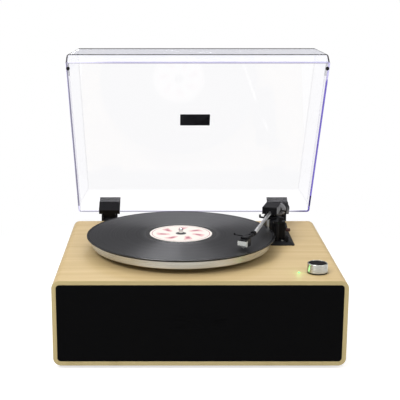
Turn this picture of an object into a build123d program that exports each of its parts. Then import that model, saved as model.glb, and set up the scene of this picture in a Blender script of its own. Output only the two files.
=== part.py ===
"""Record player with a wooden wrap-around cabinet, built-in speakers and a clear hinged dust cover.

Millimetres. X to the right, Y to the back, Z up. Sizes and places are worked out from the middle of the cabinet's
footprint, on the surface it stands on. At the end everything is moved along Y so that the origin is under the
middle of the whole, open dust cover included. The tonearm is modelled over the record.
"""

from build123d import *
from math import cos, degrees, radians, sin
import os

os.makedirs("parts", exist_ok=True)

# Cabinet
CABINET_WIDTH = 430.0
CABINET_DEPTH = 348.0
CABINET_HEIGHT = 130.0
CORNER_RADIUS = 11.5
WALL = 12.0
LIP = 6.2
FOOT_HEIGHT = 5.0
FOOT_RADIUS = 14.0
FOOT_INSET_X = 42.0
FOOT_INSET_Y = 38.0
FRONT_REBATE = 10.0
REAR_REBATE = 8.0
REAR_PANEL = 5.0
REAR_RECESS = 2.0
BAFFLE = 9.0

# Clearances
SEAT_GAP = 0.3
RUN_GAP = 0.05
PRESS_GAP = 0.02
SCREW_GAP = 0.15
GROOVE_GAP = 0.35

# Front grille and speakers
GRILLE_RECESS = 0.8
CLOTH = 0.8
GRILLE_FRAME = 6.0
GRILLE_BORDER = 13.0
LATTICE_PITCH = 15.0
LATTICE_RIB = 2.2
SPEAKER_FROM_SIDE = 97.0
SPEAKER_FLANGE = 9.0
SPEAKER_CONE_RADIUS = 37.0
SPEAKER_DEPTH = 42.0
MAGNET_RADIUS = 32.0
MAGNET_THICKNESS = 14.0

# Rear sockets
JACK_FROM_SIDE = 95.0
JACK_PLATE_WIDTH = 96.0
JACK_PLATE_HEIGHT = 34.0
JACK_RADIUS = 4.15
AUX_RADIUS = 1.8

# Platter, record and drive
SPINDLE_X = -25.6
SPINDLE_Y = -2.6
SPINDLE_RADIUS = 3.57
SPINDLE_REACH = 9.0
SPINDLE_NECK_RADIUS = 3.3
PLATTER_RADIUS = 142.5
PLATTER_LIFT = 8.5
PLATTER_HEIGHT = 12.0
PLATTER_WEB = 4.0
PLATTER_RIM = 5.0
DRIVE_RING_RADIUS = 80.0
DRIVE_RING_WALL = 4.0
HUB_RADIUS = 15.0
MAT_RADIUS = 147.0
MAT_THICKNESS = 2.5
RECORD_RADIUS = 150.8
RECORD_THICKNESS = 1.8
GROOVE_DEPTH = 0.35
LABEL_RADIUS = 50.0
LABEL_THICKNESS = 0.25
BEARING_RADIUS = 9.0
BEARING_FLANGE_RADIUS = 20.0
BEARING_DEPTH = 30.0
MOTOR_DISTANCE = 108.0
MOTOR_ANGLE = 135.0
MOTOR_RADIUS = 19.0
MOTOR_LENGTH = 24.0
MOTOR_WALL = 3.0
MOTOR_SHAFT_RADIUS = 1.0
ROTOR_RADIUS = 14.0
ROTOR_GAP = 0.8
PULLEY_RADIUS = 6.2
BELT_WIDTH = 4.0
BELT_THICKNESS = 0.6
BELT_GAP = 0.25

# Tonearm unit
PIVOT_X = 127.7
PIVOT_Y = 78.0
TUBE_LIFT = 41.5
TUBE_RADIUS = 2.8
TUBE_WALL = 0.6
ARM_YAW = 16.1
ARM_REST_YAW = -4.4
TUBE_REACH = 143.0
HEAD_ANGLE = 32.0
HEAD_NECK = 6.5
COLLAR_RADIUS = 3.9
COLLAR_LENGTH = 7.0
SHELL_WIDTH = 10.4
SHELL_THICKNESS = 3.0
SHELL_SETBACK = 6.0
FINGER_REACH = 18.0
CARTRIDGE_REACH = 43.5
CARTRIDGE_LENGTH = 17.0
CARTRIDGE_WIDTH = 14.8
CARTRIDGE_HEIGHT = 11.0
CARTRIDGE_LIFT = 4.0
NOSE_LENGTH = 5.0
NOSE_DROP = 2.2
STYLUS_SETBACK = 5.0
UNIT_PLATE_LEFT = 121.0
UNIT_PLATE_RIGHT = 160.0
UNIT_PLATE_FRONT = 12.6
UNIT_PLATE_BACK = 124.0
UNIT_PLATE_HEIGHT = 5.0
UNIT_PLATE_BEVEL = 8.0
TOWER_LIFT = 34.5
TOWER_LEFT = 124.0
TOWER_RIGHT = 146.5
TOWER_FRONT = 33.0
TOWER_KNEE = 60.0
TOWER_REAR_RADIUS = 12.5
TURRET_SHAFT_RADIUS = 4.0
YOKE_HALF = 8.9
PIVOT_PIN_RADIUS = 1.5
HOOD_WIDTH = 24.6
HOOD_SHIFT = 1.4
HOOD_FRONT = 26.0
HOOD_REAR = 10.0
HOOD_TOP = 55.0
HOOD_BOTTOM = 42.5
HOOD_WALL = 1.6
BEARING_HALF = 3.8
STUB_TURN = 8.0
STUB_DROOP = 8.0
STUB_RADIUS = 2.4
WEIGHT_RADIUS = 11.5
WEIGHT_LENGTH = 18.0
WEIGHT_DISTANCE = 45.0
WEIGHT_HUB_RADIUS = 4.5
WEIGHT_HUB_LENGTH = 10.0
DIAL_RADIUS = 10.6
DIAL_LENGTH = 5.0
DIAL_RIBS = 24
LIFT_RADIUS = 29.5
LIFT_BAR_GAP = 0.5
LIFT_BAR_THICKNESS = 2.3
DAMPER_TURN = 14.5
DAMPER_RADIUS = 3.0
PLUNGER_RADIUS = 2.0
REST_DISTANCE = 52.0
CLIP_OPEN = 100.0
CUE_SHAFT_RADIUS = 2.0
CUE_Y = 56.0
CUE_LIFT = 24.0
CUE_REACH = 22.0
SELECTOR_X = 148.0
SELECTOR_Y = 25.5
SELECTOR_TRAVEL = 3.0

# Knob and light
KNOB_FROM_SIDE = 40.1
KNOB_FROM_FRONT = 41.8
KNOB_RADIUS = 15.9
KNOB_TOP_RADIUS = 14.7
KNOB_HEIGHT = 15.0
KNOB_SKIRT = 1.6
KNOB_SHAFT_RADIUS = 3.0
LIGHT_FROM_SIDE = 67.6
LIGHT_FROM_FRONT = 39.3
LIGHT_RADIUS = 1.6

# Dust cover and hinges
LID_SIDE_INSET = 9.0
LID_FRONT_INSET = 11.4
LID_REAR_INSET = 9.0
LID_HEIGHT = 59.0
LID_SKIRT = 20.0
LID_SLOPE_SIDE = 13.5
LID_SLOPE_FRONT = 16.0
LID_WALL = 3.0
LID_CORNER = 4.5
LID_OPEN = 59.2
LID_GAP = 2.7
HINGE_FROM_SIDE = 64.0
HINGE_BEHIND = 8.6
HINGE_BELOW = 0.2
HINGE_PIN_RADIUS = 2.0
CLIP_WIDTH = 37.0
CLIP_HEIGHT = 39.0
NECK_WIDTH = 20.0
HINGE_WIDTH = 28.0
HINGE_STAND = 13.0
BADGE_WIDTH = 51.0
BADGE_LENGTH = 24.0

# Places worked out from the sizes above
FLOOR = FOOT_HEIGHT
DECK = FOOT_HEIGHT + CABINET_HEIGHT
MIDDLE = FOOT_HEIGHT + CABINET_HEIGHT / 2
FRONT = -CABINET_DEPTH / 2
BACK = CABINET_DEPTH / 2
INNER_RADIUS = max(CORNER_RADIUS - LIP, 1.0)
PLATTER_TOP = DECK + PLATTER_LIFT + PLATTER_HEIGHT
MAT_TOP = PLATTER_TOP + MAT_THICKNESS
RECORD_TOP = MAT_TOP + RECORD_THICKNESS
TUBE_Z = DECK + TUBE_LIFT
SPEAKER_X = CABINET_WIDTH / 2 - SPEAKER_FROM_SIDE
JACK_X = CABINET_WIDTH / 2 - JACK_FROM_SIDE
KNOB_X = CABINET_WIDTH / 2 - KNOB_FROM_SIDE
KNOB_Y = FRONT + KNOB_FROM_FRONT
LIGHT_X = CABINET_WIDTH / 2 - LIGHT_FROM_SIDE
LIGHT_Y = FRONT + LIGHT_FROM_FRONT
HINGE_X = CABINET_WIDTH / 2 - HINGE_FROM_SIDE
HINGE_Y = BACK + HINGE_BEHIND
HINGE_Z = DECK - HINGE_BELOW
LID_Z = DECK + LID_GAP
LID_WIDTH = CABINET_WIDTH - 2 * LID_SIDE_INSET
LID_LENGTH = CABINET_DEPTH - LID_FRONT_INSET - LID_REAR_INSET
LID_REAR_Y = BACK - LID_REAR_INSET
MOTOR_X = SPINDLE_X + MOTOR_DISTANCE * cos(radians(MOTOR_ANGLE))
MOTOR_Y = SPINDLE_Y + MOTOR_DISTANCE * sin(radians(MOTOR_ANGLE))
PLATE_TOP = DECK + UNIT_PLATE_HEIGHT
TOWER_TOP = DECK + TOWER_LIFT

nodes = {}
case_screws = []
drive_screws = []


def keep(name, *shapes):
    """Add the solids of one named piece to the list that is written at the end."""
    nodes[name] = [solid for shape in shapes for solid in shape.solids()]


def disc(radius, low, high, x=0.0, y=0.0):
    """An upright cylinder between two heights."""
    return Pos(x, y, (low + high) / 2) * Cylinder(radius, high - low)


def ring(outer, inner, low, high, x=0.0, y=0.0):
    """An upright tube between two heights."""
    return disc(outer, low, high, x, y) - disc(inner, low - 1, high + 1, x, y)


def block(x0, x1, y0, y1, z0, z1):
    """A box between six planes."""
    return Pos((x0 + x1) / 2, (y0 + y1) / 2, (z0 + z1) / 2) * Box(x1 - x0, y1 - y0, z1 - z0)


def rod_x(radius, x0, x1, y, z):
    """A cylinder along X."""
    return Pos((x0 + x1) / 2, y, z) * Rot(0, 90, 0) * Cylinder(radius, x1 - x0)


def rod_y(radius, y0, y1, x, z):
    """A cylinder along Y."""
    return Pos(x, (y0 + y1) / 2, z) * Rot(90, 0, 0) * Cylinder(radius, y1 - y0)


def wrap(width, height, radius, y0, y1):
    """A rounded rectangle in the front view, centred on the cabinet and run from y0 to y1."""
    outline = Plane.XZ.offset(-y0) * Pos(0, MIDDLE) * RectangleRounded(width, height, radius)
    return extrude(outline, amount=-(y1 - y0))


def turned(points, x=0.0, y=0.0):
    """A turned solid from (radius, height) corners, round an upright axis."""
    face = Plane.XZ * make_face(Polyline(*points, close=True))
    return Pos(x, y, 0) * revolve(face, Axis.Z)


def pan_screw(head_radius, head_height, shank_radius, length):
    """A plain round-headed screw, head up, seat at height 0."""
    return turned([
        (0, -length), (shank_radius, -length), (shank_radius, 0), (head_radius, 0),
        (head_radius * 0.8, head_height), (0, head_height),
    ])


# Cabinet shell
def build_cabinet():
    """The wrap-around veneered case, its feet and the screws that hold them."""
    shell = wrap(CABINET_WIDTH, CABINET_HEIGHT, CORNER_RADIUS, FRONT, BACK)
    inner_w = CABINET_WIDTH - 2 * WALL
    inner_h = CABINET_HEIGHT - 2 * WALL
    lip_w = CABINET_WIDTH - 2 * LIP
    lip_h = CABINET_HEIGHT - 2 * LIP
    shell -= wrap(inner_w, inner_h, INNER_RADIUS, FRONT - 1, BACK + 1)
    shell -= wrap(lip_w, lip_h, INNER_RADIUS, FRONT - 1, FRONT + FRONT_REBATE)
    shell -= wrap(lip_w, lip_h, INNER_RADIUS, BACK - REAR_REBATE, BACK + 1)
    deck_low = DECK - WALL - 1
    deck_high = DECK + 1
    holes = (
        (SPINDLE_X, SPINDLE_Y, BEARING_RADIUS + SCREW_GAP),
        (MOTOR_X, MOTOR_Y, PULLEY_RADIUS + 4.0),
        (KNOB_X, KNOB_Y, KNOB_SHAFT_RADIUS + 1.6),
        (LIGHT_X, LIGHT_Y, LIGHT_RADIUS + SCREW_GAP),
    )
    for x, y, radius in holes:
        shell -= disc(radius, deck_low, deck_high, x, y)
    keep("cabinet_shell", shell)

    feet = []
    for sx in (-1, 1):
        for sy in (-1, 1):
            x = sx * (CABINET_WIDTH / 2 - FOOT_INSET_X)
            y = sy * (CABINET_DEPTH / 2 - FOOT_INSET_Y)
            recess = 1.6
            profile = [(2.2, recess), (5.5, recess), (5.5, 0), (FOOT_RADIUS - 2.0, 0)]
            profile += [(FOOT_RADIUS, FOOT_HEIGHT), (2.2, FOOT_HEIGHT)]
            feet.append(turned(profile, x, y))
            seat = Pos(x, y, recess) * Rot(180, 0, 0)
            case_screws.append(seat * pan_screw(4.0, 1.4, 1.8, FOOT_HEIGHT - recess))
    keep("rubber_feet", *feet)


# Front baffle, speakers and grille
def build_front():
    """The board behind the cloth, both drivers, and the cloth on its ribbed frame."""
    baffle_y = FRONT + FRONT_REBATE
    board = wrap(
        CABINET_WIDTH - 2 * WALL - 2 * SEAT_GAP,
        CABINET_HEIGHT - 2 * WALL - 2 * SEAT_GAP,
        INNER_RADIUS - SEAT_GAP,
        baffle_y,
        baffle_y + BAFFLE,
    )
    seat_radius = SPEAKER_CONE_RADIUS + 3.0
    for side in (-1, 1):
        board -= rod_y(seat_radius + 0.5, baffle_y - 1, baffle_y + BAFFLE + 1, side * SPEAKER_X, MIDDLE)
    keep("front_baffle", board)

    baskets = []
    cones = []
    surrounds = []
    magnets = []
    for side in (-1, 1):
        place = Pos(side * SPEAKER_X, baffle_y, MIDDLE) * Rot(-90, 0, 0)
        baskets.append(place * speaker_basket(seat_radius))
        cones.append(place * speaker_cone())
        surrounds.append(place * speaker_surround())
        magnets.append(place * speaker_magnet())
    keep("speaker_baskets", *baskets)
    keep("speaker_cones", *cones)
    keep("speaker_surrounds", *surrounds)
    keep("speaker_magnets", *magnets)

    frame_front = FRONT + GRILLE_RECESS + CLOTH
    frame_w = CABINET_WIDTH - 2 * LIP - 2 * SEAT_GAP - 2 * CLOTH
    frame_h = CABINET_HEIGHT - 2 * LIP - 2 * SEAT_GAP - 2 * CLOTH
    corner = INNER_RADIUS - SEAT_GAP - CLOTH
    frame_back = frame_front + GRILLE_FRAME
    frame = wrap(frame_w, frame_h, corner, frame_front, frame_back)
    window_w = frame_w - 2 * GRILLE_BORDER
    window_h = frame_h - 2 * GRILLE_BORDER
    frame -= wrap(window_w, window_h, 4.0, frame_front - 1, frame_back + 1)
    rib_back = frame_front + 2.4
    count = int(window_w // LATTICE_PITCH)
    for index in range(1, count):
        x = -window_w / 2 + index * window_w / count
        frame += block(
            x - LATTICE_RIB / 2, x + LATTICE_RIB / 2, frame_front, rib_back,
            MIDDLE - window_h / 2 - 1, MIDDLE + window_h / 2 + 1,
        )
    frame += block(
        -window_w / 2 - 1, window_w / 2 + 1, frame_front, rib_back,
        MIDDLE - LATTICE_RIB / 2, MIDDLE + LATTICE_RIB / 2,
    )
    for side in (-1, 1):
        for level in (-1, 1):
            frame += rod_y(
                3.0, frame_back - 1, baffle_y,
                side * (frame_w / 2 - GRILLE_BORDER / 2), MIDDLE + level * (frame_h / 2 - GRILLE_BORDER / 2),
            )
    keep("grille_frame", frame)

    cloth = wrap(frame_w + 2 * CLOTH, frame_h + 2 * CLOTH, corner + CLOTH, frame_front - CLOTH, frame_back)
    cloth -= wrap(frame_w, frame_h, corner, frame_front, frame_back + 1)
    keep("grille_cloth", cloth)


def speaker_basket(seat_radius):
    """A pressed basket: front flange, sloping open frame with windows, and a rear plate. Front at height 0, back up."""
    flange = ring(SPEAKER_CONE_RADIUS + SPEAKER_FLANGE, SPEAKER_CONE_RADIUS + 0.5, -1.2, 0)
    plate_z = SPEAKER_DEPTH - MAGNET_THICKNESS
    wall = 1.2
    mouth = seat_radius
    tail = MAGNET_RADIUS - 6.0
    profile = [(mouth - wall, -0.6), (mouth, -0.6), (mouth, 8.0), (tail, plate_z), (10.0, plate_z)]
    profile += [(10.0, plate_z - wall), (tail - wall, plate_z - wall), (mouth - wall, 8.0 - 0.6)]
    body = turned(profile)
    for turn in range(0, 360, 90):
        slot = Pos((mouth + tail) / 2, 0, 8.0 + (plate_z - 8.0) / 2) * Box(24, 30, plate_z - 15.0)
        body -= Rot(0, 0, turn) * slot
    return flange + body


def speaker_cone():
    """The paper cone with its dust cap."""
    wall = 0.8
    rim = SPEAKER_CONE_RADIUS - 7.0
    neck = 10.0
    deep = 16.0
    cap_rise = 4.0
    cap_rim = neck + 3.0
    cap_z = deep - 2.4
    return turned([
        (0, cap_z - cap_rise), (cap_rim * 0.5, cap_z - cap_rise * 0.8), (cap_rim, cap_z), (rim, wall),
        (rim, 2 * wall), (neck + 0.6, deep + wall * 1.6), (neck, deep),
        (cap_rim * 0.5, cap_z - cap_rise * 0.8 + wall), (0, cap_z - cap_rise + wall),
    ])


def speaker_surround():
    """The rubber half-roll between cone and flange."""
    middle = SPEAKER_CONE_RADIUS - 4.0
    outer = SPEAKER_CONE_RADIUS + 1.5
    inner = SPEAKER_CONE_RADIUS - 8.5
    wall = 0.8
    seat = 0.0
    return turned([
        (inner, seat), (middle - 3.0, seat), (middle - 1.8, seat - 2.4), (middle + 1.8, seat - 2.4),
        (middle + 3.0, seat), (outer, seat), (outer, seat + wall), (middle + 2.4, seat + wall),
        (middle + 1.3, seat - 2.4 + wall), (middle - 1.3, seat - 2.4 + wall), (middle - 2.4, seat + wall),
        (inner, seat + wall),
    ])


def speaker_magnet():
    """The ferrite ring between its two steel plates."""
    low = SPEAKER_DEPTH - MAGNET_THICKNESS
    magnet = disc(MAGNET_RADIUS - 2.0, low, low + 2.0) + disc(MAGNET_RADIUS, low + 2.0, SPEAKER_DEPTH - 2.0)
    return magnet + disc(MAGNET_RADIUS - 2.0, SPEAKER_DEPTH - 2.0, SPEAKER_DEPTH)


# Rear panel, sockets and electronics
def build_rear():
    """The rear panel with its socket plate, and the amplifier board behind it."""
    outer_face = BACK - REAR_RECESS
    inner_face = outer_face - REAR_PANEL
    panel = wrap(
        CABINET_WIDTH - 2 * LIP - 2 * SEAT_GAP,
        CABINET_HEIGHT - 2 * LIP - 2 * SEAT_GAP,
        INNER_RADIUS - SEAT_GAP,
        inner_face,
        outer_face,
    )
    window_w = JACK_PLATE_WIDTH - 12.0
    window_h = JACK_PLATE_HEIGHT - 12.0
    panel -= block(
        JACK_X - window_w / 2, JACK_X + window_w / 2, inner_face - 1, outer_face + 1,
        MIDDLE - window_h / 2, MIDDLE + window_h / 2,
    )
    for column in (-1, 0, 1):
        for level in (-1, 1):
            spot_x = column * (CABINET_WIDTH / 2 - WALL)
            spot_z = MIDDLE + level * (CABINET_HEIGHT / 2 - LIP - 6.0)
            place = Pos(spot_x, outer_face, spot_z) * Rot(-90, 0, 0)
            case_screws.append(place * pan_screw(3.4, 1.6, 1.7, REAR_PANEL))
            panel -= rod_y(1.7 + SCREW_GAP, inner_face - 1, outer_face + 1, spot_x, spot_z)

    plate_front = outer_face
    plate_back = plate_front + 1.6
    plate = block(
        JACK_X - JACK_PLATE_WIDTH / 2, JACK_X + JACK_PLATE_WIDTH / 2, plate_front, plate_back,
        MIDDLE - JACK_PLATE_HEIGHT / 2, MIDDLE + JACK_PLATE_HEIGHT / 2,
    )
    plate = fillet(plate.edges().filter_by(Axis.Y), 3.0)
    socket_xs = (JACK_X - 30.0, JACK_X - 12.0)
    aux_x = JACK_X + 8.0
    power_x = JACK_X + 30.0
    for x in socket_xs:
        plate -= rod_y(JACK_RADIUS - 0.6 + SCREW_GAP, plate_front - 1, plate_back + 1, x, MIDDLE)
    plate -= rod_y(3.0 + SCREW_GAP, plate_front - 1, plate_back + 1, aux_x, MIDDLE)
    plate -= rod_y(4.2 + SCREW_GAP, plate_front - 1, plate_back + 1, power_x, MIDDLE)
    for side in (-1, 1):
        spot_x = JACK_X + side * (JACK_PLATE_WIDTH / 2 - 4.0)
        place = Pos(spot_x, plate_back, MIDDLE) * Rot(-90, 0, 0)
        case_screws.append(place * pan_screw(2.6, 1.4, 1.3, 1.6))
        plate -= rod_y(1.3 + SCREW_GAP, plate_front - 1, plate_back + 1, spot_x, MIDDLE)
    keep("rear_panel", panel)
    keep("socket_plate", plate)

    sockets = []
    for x in socket_xs:
        place = Pos(x, plate_back, MIDDLE) * Rot(-90, 0, 0)
        body = disc(JACK_RADIUS, 0, 8.0) + disc(6.0, 0, 1.4)
        body += disc(JACK_RADIUS - 0.6, -6.0, 0)
        body -= disc(1.6, -2.0, 9.0)
        sockets.append(place * body)
    keep("phono_sockets", *sockets)

    aux = Pos(aux_x, plate_back, MIDDLE) * Rot(-90, 0, 0)
    aux_body = disc(4.0, 0, 1.6) + disc(3.0, -14.0, 0)
    aux_body -= disc(AUX_RADIUS, -13.0, 3.0)
    keep("aux_socket", aux * aux_body)

    power = Pos(power_x, plate_back, MIDDLE) * Rot(-90, 0, 0)
    inlet = disc(5.4, 0, 1.2) + disc(4.2, -11.0, 0)
    inlet -= disc(2.8, -9.5, 3.0)
    inlet += disc(1.05, -10.0, -1.0)
    keep("power_inlet", power * inlet)

    board_y = inner_face - 28.0
    board_x = JACK_X
    board_low = FLOOR + WALL
    pillars = []
    for sx in (-1, 1):
        for sy in (-1, 1):
            pillars.append(disc(3.0, board_low, board_low + 8.0, board_x + sx * 44.0, board_y - 24.0 + sy * 24.0))
    board_z = board_low + 8.0
    board = block(board_x - 50, board_x + 50, board_y - 54, board_y + 6, board_z, board_z + 1.6)
    keep("circuit_board", board)
    top = board_z + 1.6
    sink = block(board_x - 34, board_x - 4, board_y - 48, board_y - 30, top, top + 22)
    for index in range(5):
        x = board_x - 31 + index * 5.4
        sink -= block(x, x + 3.0, board_y - 49, board_y - 29, top + 3, top + 23)
    keep("heat_sink", sink)
    cans = []
    for x, y, radius, height in ((10, -40, 6, 16), (26, -40, 6, 16), (12, -16, 4, 11), (24, -16, 4, 11)):
        cans.append(disc(radius, top, top + height, board_x + x, board_y + y))
    keep("board_parts", *pillars, *cans)


# Platter, record, bearing, motor and belt
def build_turntable():
    """Everything that turns with the spindle, and what carries and drives it."""
    low = DECK + PLATTER_LIFT
    profile = [
        (SPINDLE_RADIUS + 0.02, low), (HUB_RADIUS, low), (HUB_RADIUS, PLATTER_TOP - PLATTER_WEB),
        (DRIVE_RING_RADIUS - DRIVE_RING_WALL, PLATTER_TOP - PLATTER_WEB),
        (DRIVE_RING_RADIUS - DRIVE_RING_WALL, low + 1.0), (DRIVE_RING_RADIUS, low + 1.0),
        (DRIVE_RING_RADIUS, PLATTER_TOP - PLATTER_WEB), (PLATTER_RADIUS - PLATTER_RIM, PLATTER_TOP - PLATTER_WEB),
        (PLATTER_RADIUS - PLATTER_RIM, low), (PLATTER_RADIUS - 1.0, low), (PLATTER_RADIUS, low + 1.0),
        (PLATTER_RADIUS, PLATTER_TOP - 1.0), (PLATTER_RADIUS - 1.0, PLATTER_TOP),
        (SPINDLE_RADIUS + 0.02, PLATTER_TOP),
    ]
    platter = turned(profile, SPINDLE_X, SPINDLE_Y)
    keep("platter", platter)

    mat = ring(MAT_RADIUS, SPINDLE_RADIUS + 0.1, PLATTER_TOP, MAT_TOP, SPINDLE_X, SPINDLE_Y)
    keep("slip_mat", mat)

    edge = RECORD_RADIUS
    dip = RECORD_TOP - GROOVE_DEPTH
    profile = [
        (SPINDLE_RADIUS + 0.08, MAT_TOP), (edge - 0.8, MAT_TOP), (edge, MAT_TOP + 0.7), (edge, RECORD_TOP - 0.6),
        (edge - 0.8, RECORD_TOP - 0.1), (edge - 2.6, RECORD_TOP - 0.1), (edge - 4.0, dip),
        (LABEL_RADIUS + 5.0, dip), (LABEL_RADIUS + 2.5, RECORD_TOP), (SPINDLE_RADIUS + 0.08, RECORD_TOP),
    ]
    keep("record", turned(profile, SPINDLE_X, SPINDLE_Y))
    label = ring(LABEL_RADIUS, SPINDLE_RADIUS + 0.08, RECORD_TOP, RECORD_TOP + LABEL_THICKNESS, SPINDLE_X, SPINDLE_Y)
    keep("record_label", label)

    bottom = DECK - BEARING_DEPTH
    tip = RECORD_TOP + SPINDLE_REACH
    neck_low = RECORD_TOP - 0.5
    neck_high = RECORD_TOP + LABEL_THICKNESS + 0.25
    profile = [
        (0, bottom + 2.0), (1.6, bottom + 2.4), (SPINDLE_RADIUS, bottom + 4.2), (SPINDLE_RADIUS, neck_low),
        (SPINDLE_NECK_RADIUS, neck_low), (SPINDLE_NECK_RADIUS, neck_high), (SPINDLE_RADIUS, neck_high),
        (SPINDLE_RADIUS, tip - 3.0), (SPINDLE_RADIUS * 0.86, tip - 1.3), (SPINDLE_RADIUS * 0.5, tip - 0.3), (0, tip),
    ]
    keep("spindle", turned(profile, SPINDLE_X, SPINDLE_Y))

    bore = SPINDLE_RADIUS + RUN_GAP
    profile = [
        (0, bottom - 2.0), (BEARING_RADIUS, bottom - 2.0), (BEARING_RADIUS, DECK),
        (BEARING_FLANGE_RADIUS, DECK), (BEARING_FLANGE_RADIUS, DECK + 2.0), (BEARING_RADIUS, DECK + 2.0),
        (BEARING_RADIUS - 1.5, DECK + PLATTER_LIFT - 1.2), (bore, DECK + PLATTER_LIFT - 1.2),
        (bore, bottom), (0, bottom),
    ]
    housing = turned(profile, SPINDLE_X, SPINDLE_Y)
    for turn in (90, 210, 330):
        x = SPINDLE_X + 15.0 * cos(radians(turn))
        y = SPINDLE_Y + 15.0 * sin(radians(turn))
        housing -= disc(1.5 + SCREW_GAP, DECK - 1, DECK + 3, x, y)
        drive_screws.append(Pos(x, y, DECK + 2.0) * pan_screw(2.8, 1.5, 1.5, 2.0))
    thrust = [(0, bottom), (1.5, bottom), (1.5, bottom + 1.0), (0, bottom + 1.7)]
    keep("bearing_housing", housing, turned(thrust, SPINDLE_X, SPINDLE_Y))

    build_motor()


def build_motor():
    """The motor on its plate under the deck, its pulley and the flat belt to the ring under the platter."""
    belt_low = DECK + PLATTER_LIFT + 2.2
    belt_high = belt_low + BELT_WIDTH
    under = DECK - WALL
    ear = MOTOR_RADIUS + 5.0
    plate = block(MOTOR_X - ear - 6, MOTOR_X + ear + 6, MOTOR_Y - ear, MOTOR_Y + ear, under - 4.0, under - 2.5)
    plate = fillet(plate.edges().filter_by(Axis.Z), 6.0)
    plate -= disc(8.0, under - 5.0, under, MOTOR_X, MOTOR_Y)
    grommets = []
    for turn in (0, 180):
        x = MOTOR_X + ear * cos(radians(turn))
        y = MOTOR_Y + ear * sin(radians(turn))
        plate -= disc(3.2, under - 5.0, under, x, y)
        profile = [(1.8, under), (4.6, under), (4.6, under - 2.5), (3.1, under - 2.5), (3.1, under - 4.0)]
        profile += [(4.6, under - 4.0), (4.6, under - 6.0), (1.8, under - 6.0)]
        grommets.append(turned(profile, x, y))
        drive_screws.append(Pos(x, y, under - 6.0) * Rot(180, 0, 0) * pan_screw(4.0, 1.8, 1.7, 6.0))
    keep("motor_plate", plate)
    keep("motor_grommets", *grommets)

    top = under - 4.0
    bottom = top - MOTOR_LENGTH
    body = disc(MOTOR_RADIUS, bottom, top, MOTOR_X, MOTOR_Y)
    body = chamfer(body.edges().filter_by(GeomType.CIRCLE), 1.5)
    body += disc(7.0, top, top + 2.0, MOTOR_X, MOTOR_Y)
    body += disc(4.0, bottom - 2.5, bottom, MOTOR_X, MOTOR_Y)
    body -= disc(ROTOR_RADIUS + ROTOR_GAP, bottom + MOTOR_WALL, top - MOTOR_WALL, MOTOR_X, MOTOR_Y)
    body -= disc(MOTOR_SHAFT_RADIUS + RUN_GAP, bottom - 1.5, top + 3.0, MOTOR_X, MOTOR_Y)
    keep("motor_body", body)

    pulley = disc(PULLEY_RADIUS, belt_low - 0.8, belt_high + 0.8, MOTOR_X, MOTOR_Y)
    pulley += disc(PULLEY_RADIUS + 1.2, belt_high + 0.8, belt_high + 1.8, MOTOR_X, MOTOR_Y)
    pulley += disc(PULLEY_RADIUS + 1.2, belt_low - 1.8, belt_low - 0.8, MOTOR_X, MOTOR_Y)
    pulley += disc(3.4, DECK + 1.0, belt_low - 1.8, MOTOR_X, MOTOR_Y)
    pulley -= disc(MOTOR_SHAFT_RADIUS, DECK, belt_high - 1.0, MOTOR_X, MOTOR_Y)
    rotor = disc(MOTOR_SHAFT_RADIUS, bottom - 1.0, belt_high - 1.0, MOTOR_X, MOTOR_Y)
    rotor += disc(
        ROTOR_RADIUS, bottom + MOTOR_WALL + ROTOR_GAP, top - MOTOR_WALL - ROTOR_GAP, MOTOR_X, MOTOR_Y
    )
    keep("motor_pulley", pulley, rotor)

    inner_ring = DRIVE_RING_RADIUS + BELT_GAP
    inner_pulley = PULLEY_RADIUS + BELT_GAP

    def loop(extra):
        big = Pos(SPINDLE_X, SPINDLE_Y) * Circle(inner_ring + extra)
        small = Pos(MOTOR_X, MOTOR_Y) * Circle(inner_pulley + extra)
        return make_hull(big.edges() + small.edges())

    belt = extrude(loop(BELT_THICKNESS) - loop(0.0), amount=BELT_WIDTH)
    keep("drive_belt", Pos(0, 0, belt_low) * belt)


# Tonearm unit
def arm_place():
    """The tonearm's own frame: pivot at the origin, tube towards -Y, heights from the table."""
    return Pos(PIVOT_X, PIVOT_Y, 0) * Rot(0, 0, -ARM_YAW)


def cone_pin(x0, x1, radius):
    """A pointed pivot pin along X from its outer end x0 to its point x1, at the tube's height."""
    side = 1 if x0 > x1 else -1
    length = abs(x0 - x1)
    pin = turned([(0, 0), (radius, 0), (radius, length - radius), (0, length)])
    return Pos(x0, 0, TUBE_Z) * Rot(0, -90 * side, 0) * pin


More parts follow.
